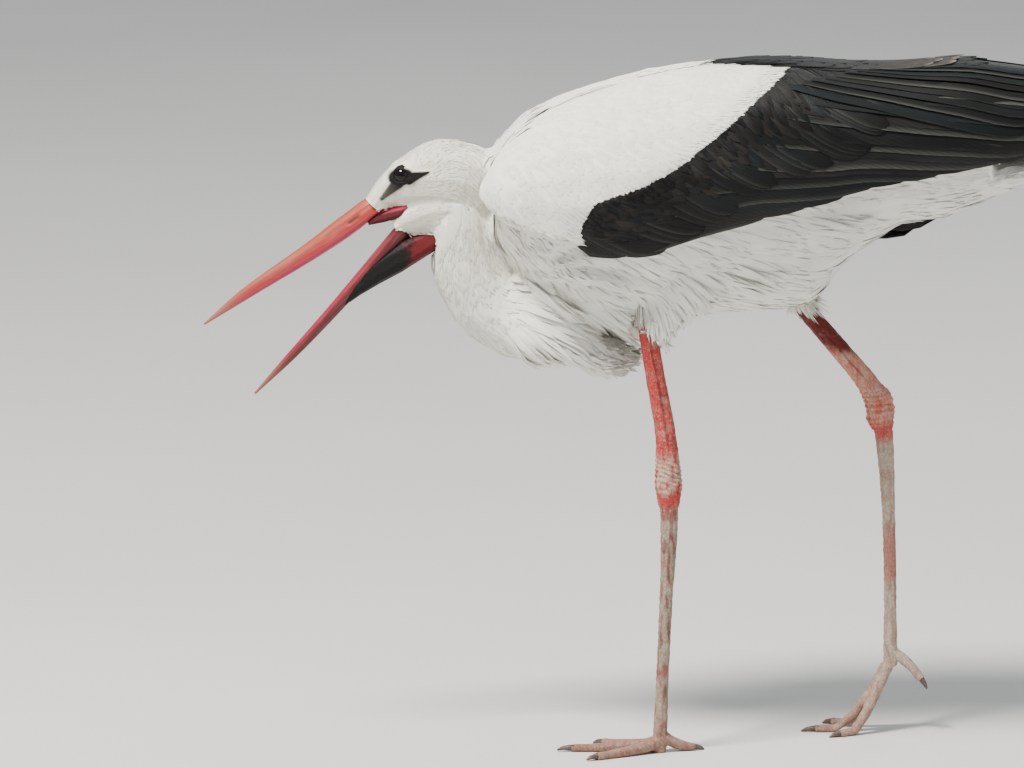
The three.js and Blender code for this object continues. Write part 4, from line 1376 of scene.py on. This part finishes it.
def smaller_coverts(quills):
    """Median and lesser coverts, in rows that come out from under the white."""
    for row, (step, length, width, extra) in enumerate(COVERT_ROWS):
        count = 36 + 12 * row
        for i in range(count):
            s = (i + 0.5 * (row % 2) + rng.uniform(-0.35, 0.35)) / count
            near, far = point_along(WHITE_BORDER[1:-2], s), point_along(COVERT_TIPS, s)
            x1, z1 = near + (far - near) * (step + rng.uniform(-0.07, 0.07))
            dip = math.radians(float(COVERT_DIP(x1)) + extra + rng.uniform(-5, 5))
            long, wide = length * rng.uniform(0.85, 1.15), width * rng.uniform(0.85, 1.15)
            quills.lay_tip(x1, z1, dip, long, -0.03, wide, (-1.1, 0.9 + 0.22 * row), 0.08, COVERT_TIP,
                           own_black(0.5) * 1.1, 0.12 * rng.random())


def scapulars(quills, count=22):
    """Long feathers along the ridge, narrow and short where it starts."""
    for i in range(count):
        s = i / (count - 1)
        x0 = np.interp(s, [0, 1], [-14, 108])
        length = np.interp(s, [0, 1], [60, 118])
        h0 = 1.0 - 0.19 * s * ((i * 7) % 5) / 5
        width = np.interp(s, [0, 0.35], [6, 18])
        quills.lay((x0, h0), (x0 + length, h0 - 0.04), 0.0, width, (-1.2, 0.9 + 0.9 * s), 0.05, ROUND_TIP,
                   own_black(0.2) * 0.6)


# the last scapulars, which stand up a little: x and h of the root, length, and height of the tip
RAISED = [(112, 0.97, 66, 2.0), (120, 0.91, 72, 2.6), (132, 0.985, 62, 3.2), (141, 0.94, 58, 2.8),
          (150, 0.97, 60, 3.6)]


def raised_scapulars(quills):
    """Brown feathers with worn pale tips."""
    paint = blend(BROWN_BLACK * 1.6, WORN_TIP, smoothstep(QUILL_ALONG, 0.90, 1.0))
    for x0, h0, length, high in RAISED:
        x0 += rng.uniform(-12, 12)
        h0 -= rng.uniform(0, 0.04)
        high *= rng.uniform(0.7, 1.1)
        end = (x0 + length, h0 - rng.uniform(0, 0.05))
        quills.lay((x0, h0), end, 0.0, rng.uniform(13, 18), (0.6, high), 0.10, ROUND_TIP, paint, 0.7)


for word, side in SIDES.items():
    quills = WingQuills(word, side)
    for tract in (flight_feathers, tertials, greater_coverts, smaller_coverts, scapulars, raised_scapulars):
        tract(quills)
    quills.build(f"quills_{word}", "black_feather")


def tail_quills(count=12):
    """White tail feathers in a flat, slightly arched fan."""
    quills = QuillSet()
    t = QUILL_ALONG
    tail_top = curve((188, 456), (256, 470), (316, 481), (386, 489))
    middle = (count - 1) / 2
    for i in range(count):
        s = (i - middle) / middle
        x = 214 + (385 - 6 * s * s - 214) * t
        y = s * (16 + 17 * t)
        z = tail_top(x) - 3.0 - 3.5 * s * s - 0.9 * abs(s)
        normal = unit(np.column_stack([np.full(len(t), -0.2), np.full(len(t), 0.25 * s), np.ones(len(t))]))
        lift = np.full(len(t), -0.7 * abs(i - middle))
        quills.add(np.column_stack([x, y, z]), normal, 15.0, lift, 0.0, ROUND_TIP, WHITE)
    quills.build("quills_tail", "white_feather")


tail_quills()

# ---------------------------------------------------------------- bill


def bent_line(points, t):
    """Points (x, z) at shares t of the length of a smooth line, and the directions there."""
    points = np.array(points, float)
    reach = np.concatenate([[0], np.cumsum(np.hypot(*np.diff(points, axis=0).T))])
    reach /= reach[-1]
    x = curve(*zip(reach, points[:, 0]))
    z = curve(*zip(reach, points[:, 1]))
    step = 1e-3
    direction = np.column_stack([x(t + step) - x(t - step), z(t + step) - z(t - step)])
    return x(t), z(t), direction / np.linalg.norm(direction, axis=1, keepdims=True)


def mandible(line, side, up, down, power, detail, rings=110, around=44):
    """A bill half as a loft of superellipses, moved out or in by detail(t, angle)."""
    t = np.linspace(0, 1, rings)
    x, z, direction = bent_line(line, t)
    turn = np.linspace(0, 2 * math.pi, around, endpoint=False)
    c, s = np.cos(turn), np.sin(turn)

    def bend(v):
        return np.sign(v) * np.abs(v) ** (2 / power)

    rise_x, rise_z = -direction[:, 1], direction[:, 0]
    height = np.where(s > 0, up(t)[:, None], down(t)[:, None]) * bend(s)
    grow = detail(t[:, None], turn[None, :])
    across = side(t)[:, None] * bend(c) + grow * c
    height = height + grow * s
    points = np.stack([x[:, None] + rise_x[:, None] * height,
                       across,
                       z[:, None] + rise_z[:, None] * height], axis=2)
    vertices, faces = ring_loft(points)
    share = np.concatenate([np.repeat(t, around), [0, 1]])
    round_share = np.concatenate([np.tile(turn / (2 * math.pi), rings), [0, 0]])
    return vertices, faces, share, round_share


NOSTRIL = ((-276.5, 417.5), (-269.5, 423.0))


BILL_COLOURS = {  # ridge, middle, cutting edge and root
    "upper": np.array([(0.29, 0.055, 0.022), (0.29, 0.022, 0.026), (0.34, 0.010, 0.075),
                       (0.34, 0.030, 0.018)]),
    # The lower half's darker reds are partly painted shade, and its paler cutting edge, on top, is partly a
    # painted highlight.
    "lower": np.array([(0.075, 0.005, 0.008), (0.115, 0.006, 0.011), (0.23, 0.011, 0.029),
                       (0.085, 0.005, 0.009)]),
}
BILL_TIP = np.array([0.26, 0.11, 0.08])
# Painted shade inside the nostril slit.
NOSTRIL_SHADE = np.array([0.03, 0.01, 0.008])


def bill_paint(share, height, half):
    """Orange-brown along the ridge, pink along the side, deep red at the cutting edge, and a dull tip."""
    ridge, middle, edge, root = BILL_COLOURS[half]
    colour = blend(middle, ridge, smoothstep(height, 0.25, 0.9))
    colour = blend(colour, edge, smoothstep(height, 0.1, -0.38))
    colour = blend(colour, root, 0.75 * smoothstep(share, 0.70, 0.97))
    return blend(colour, BILL_TIP, 0.8 * smoothstep(share, 0.26, 0.02))


def upper_detail(t, turn):
    """A low crest along the top and a groove down each side."""
    ridge = 0.35 * np.exp(-((turn - math.pi / 2) / 0.25) ** 2) * smoothstep(t, 0.2, 0.7)
    groove = sum(np.exp(-((turn - a) / 0.13) ** 2) for a in (0.55, math.pi - 0.55))
    return ridge - 0.45 * groove * smoothstep(t, 0.42, 0.8)


def lower_detail(t, turn):
    """A groove down each side."""
    groove = sum(np.exp(-((turn - a) / 0.16) ** 2) for a in (-0.5 + 2 * math.pi, math.pi + 0.5))
    return -0.35 * groove * smoothstep(t, 0.3, 0.7)


upper = mandible(
    [(-391.5, 336), (-355.2, 360.3), (-301.8, 394.3), (-273, 414.7), (-258.2, 426.4), (-250, 432.8)],
    curve((0, 0.9), (0.25, 3.6), (0.6, 6.2), (0.8, 7.6), (0.92, 8.6), (1, 9)),
    curve((0, 0.8), (0.25, 6.9), (0.6, 10.2), (0.8, 12), (0.92, 11.7), (1, 9)),
    curve((0, 0.8), (0.25, 2.7), (0.6, 4), (0.8, 4.7), (0.92, 4.5), (1, 4)),
    1.85, upper_detail)


def mandible_piece(half, made):
    vertices, faces, share, round_share = made
    outer_height = np.sin(round_share * 2 * math.pi) * (1 if half == "upper" else -1)
    paint = bill_paint(share, outer_height, half)
    if half == "upper":
        distance, _ = near_segment(vertices[:, 0], vertices[:, 2], *NOSTRIL)
        slit = smoothstep(distance, 1.5, 0.6) * (np.abs(vertices[:, 1]) > 2)
        vertices[:, 1] -= np.sign(vertices[:, 1]) * 1.4 * slit
        paint = blend(paint, NOSTRIL_SHADE, slit)
    piece = new_object(f"bill_{half}_horn", place(vertices), faces)
    point_attribute(piece, "paint", paint, "FLOAT_COLOR")
    uv_layer(piece, "vane", np.column_stack([round_share, share]))
    piece.data.materials.append(bill_look)
    finish_piece(piece, [f"bill_{half}"])


def bill_material():
    """Horn with fine streaks along it, and stains."""
    m = Nodes("bill")
    where = m.object_position()
    u, v, _ = m.separate(m.uv("vane"))
    grain = m.add("ShaderNodeCombineXYZ")
    m.link(m.math("MULTIPLY", u, 46.0), grain.inputs[0])
    m.link(m.math("MULTIPLY", v, 5.0), grain.inputs[1])
    streaks = m.noise(grain.outputs[0], 1.0, 4.0, 0.6)
    stains = m.noise(where, 120.0, 4.0, 0.6)
    pale = m.mix(m.attribute("paint"), (0.62, 0.26, 0.21), m.span(streaks, 0.50, 0.74, 0.0, 0.26))
    dirty = m.mix(pale, (0.16, 0.05, 0.035), m.span(stains, 0.56, 0.75, 0.0, 0.45))
    m.link(dirty, m.shader.inputs["Base Color"])
    m.bump(m.math("ADD", streaks, m.math("MULTIPLY", stains, 0.6)), 0.25, 0.0004)
    m.link(m.span(stains, 0.3, 0.8, 0.32, 0.55), m.shader.inputs["Roughness"])
    m.set(specular=0.4)
    return m.material


bill_look = bill_material()
mandible_piece("upper", upper)

LOWER_SLOPE = math.radians(50)


def along_lower(distance, above=0.0):
    """A point in front of the lower bill's root, along its slope."""
    x = -240.5 - distance * math.cos(LOWER_SLOPE) - above * math.sin(LOWER_SLOPE)
    z = 408.5 - distance * math.sin(LOWER_SLOPE) + above * math.cos(LOWER_SLOPE)
    return x, z


lower = mandible(
    [along_lower(169.5, 2.8), along_lower(83), along_lower(-6)],
    curve((0, 0.9), (0.25, 3.2), (0.5, 5.2), (0.75, 7.4), (1, 9.6)),
    curve((0, 0.9), (0.25, 2.4), (0.5, 3), (0.75, 3.4), (1, 3.6)),
    curve((0, 0.9), (0.25, 4.8), (0.5, 6.6), (0.75, 8.2), (1, 9)),
    1.9, lower_detail)
mandible_piece("lower", lower)

# ---------------------------------------------------------------- eyes and claws


CORNEA = 0.30  # how far the cornea stands out of the ball


def eye_material():
    """A dark iris with faint spokes round a black pupil, under a wet surface."""
    m = Nodes("eye")
    u, v, _ = m.separate(m.uv("vane"))
    fibres = m.add("ShaderNodeCombineXYZ")
    m.link(m.math("MULTIPLY", u, 70.0), fibres.inputs[0])
    m.link(m.math("MULTIPLY", v, 3.0), fibres.inputs[1])
    spokes = m.noise(fibres.outputs[0], 1.0, 3.0)
    iris = m.mix((0.003, 0.002, 0.002), (0.009, 0.005, 0.004), spokes)
    ring = m.ramp(v, [(0.0, (0, 0, 0)), (0.105, (0, 0, 0)), (0.125, (1, 1, 1)), (0.21, (1, 1, 1)),
                      (0.245, (0.1, 0.1, 0.1)), (1.0, (0.1, 0.1, 0.1))])
    m.link(m.mix((0.003, 0.003, 0.003), iris, ring), m.shader.inputs["Base Color"])
    m.set(roughness=0.05, specular=0.20, coat=0.12)
    return m.material


def eyeball(word, side):
    centre, axis, forward, up = eye_frame(side)
    latitude = np.linspace(0.0, math.pi, 34)[1:-1]
    turn = np.linspace(0, 2 * math.pi, 40, endpoint=False)
    radius = EYE_RADIUS * 0.995 + CORNEA * np.exp(-((latitude / 0.5) ** 2))
    flat = np.cos(turn)[:, None] * forward - side * np.sin(turn)[:, None] * up
    rings = np.array([centre + r * (math.cos(a) * axis + math.sin(a) * flat)
                      for a, r in zip(latitude, radius)])
    vertices, faces = ring_loft(rings)
    vertices[-2] = centre + axis * (EYE_RADIUS + CORNEA)
    vertices[-1] = centre - axis * EYE_RADIUS
    ball = new_object(f"eyeball_{word}", place(vertices), [f[::-1] for f in faces])
    share = np.concatenate([np.repeat(latitude / math.pi, len(turn)), [0, 1]])
    around = np.concatenate([np.tile(turn / (2 * math.pi), len(latitude)), [0, 0]])
    uv_layer(ball, "vane", np.column_stack([around, share]))
    ball.data.materials.append(eye_look)
    finish_piece(ball, [f"eye_{word}"])


eye_look = eye_material()
for word, side in SIDES.items():
    eyeball(word, side)


def claw_material():
    """Dark horn, paler in streaks."""
    m = Nodes("claw")
    where = m.object_position()
    grain = m.noise(m.scaled(where, (1.0, 1.0, 3.0)), 500.0, 3.0)
    colour = m.ramp(grain, [(0.3, (0.035, 0.022, 0.018)), (0.7, (0.14, 0.09, 0.07))])
    m.link(colour, m.shader.inputs["Base Color"])
    m.bump(grain, 0.3, 0.0002)
    m.set(roughness=0.45)
    return m.material


claw_look = claw_material()
for word in SIDES:
    for digit in DIGITS:
        node = f"claw_{digit}_{word}"
        vertices, faces = fused([node], voxel=0.45, rounds=3)
        claw = new_object(f"horn_{digit}_{word}", place(vertices), faces)
        claw.data.materials.append(claw_look)
        finish_piece(claw, [node])

# ---------------------------------------------------------------- floor, light and camera


def floor_material():
    m = Nodes("floor")
    where = m.object_position()
    cloud = m.noise(where, 2.0, 4.0)
    colour = m.ramp(cloud, [(0.3, (0.60, 0.59, 0.57)), (0.7, (0.64, 0.63, 0.61))])
    m.link(colour, m.shader.inputs["Base Color"])
    m.bump(m.noise(where, 160.0, 3.0), 0.08, 0.001)
    m.set(roughness=0.75)
    return m.material


FLOOR_HALF = 12.0
floor_corners = FLOOR_HALF * np.array([(-1, -1, 0), (1, -1, 0), (1, 1, 0), (-1, 1, 0)], float)
floor = new_object("floor", floor_corners, [(0, 1, 2, 3)], smooth=False)
floor.data.materials.append(floor_material())

world = bpy.data.worlds.new("studio")
world.use_nodes = True
sky = world.node_tree.nodes["Background"].inputs
sky["Color"].default_value = (0.80, 0.86, 0.92, 1)
sky["Strength"].default_value = 0.52
bpy.context.scene.world = world


def area_light(name, place_m, target_m, size, power, colour):
    light = bpy.data.lights.new(name, "AREA")
    light.shape = "DISK"
    light.size = size
    light.energy = power
    light.color = colour
    holder = bpy.data.objects.new(name, light)
    holder.location = place_m
    aim = Vector(target_m) - Vector(place_m)
    holder.rotation_euler = aim.to_track_quat("-Z", "Y").to_euler()
    bpy.context.scene.collection.objects.link(holder)


BIRD_MIDDLE = (0.0, 0.0, 0.35)
area_light("key", (-1.4, -1.3, 3.3), BIRD_MIDDLE, 1.0, 330, (1.0, 0.97, 0.91))
area_light("fill", (2.4, -2.2, 1.2), BIRD_MIDDLE, 2.4, 16, (0.92, 0.96, 1.0))
area_light("rim", (0.8, 2.4, 2.2), BIRD_MIDDLE, 1.4, 26, (1.0, 1.0, 1.0))

CAMERA_DISTANCE = 12.0
CAMERA_RISE = math.radians(10)
FRAME_WIDTH = 0.809  # of the picture, at the bird
SENSOR = 36.0
FRAME_CENTRE = (-148.5, 0.0, 288.0)  # in bird millimetres

camera_data = bpy.data.cameras.new("camera")
camera_data.sensor_width = SENSOR
camera_data.lens = SENSOR * CAMERA_DISTANCE / FRAME_WIDTH
camera_data.clip_end = 60
camera = bpy.data.objects.new("camera", camera_data)
towards_camera = Vector((0, -math.cos(CAMERA_RISE), math.sin(CAMERA_RISE)))
camera.location = Vector(place(FRAME_CENTRE)) + towards_camera * CAMERA_DISTANCE
camera.rotation_euler = (math.pi / 2 - CAMERA_RISE, 0, 0)
bpy.context.scene.collection.objects.link(camera)
bpy.context.scene.camera = camera
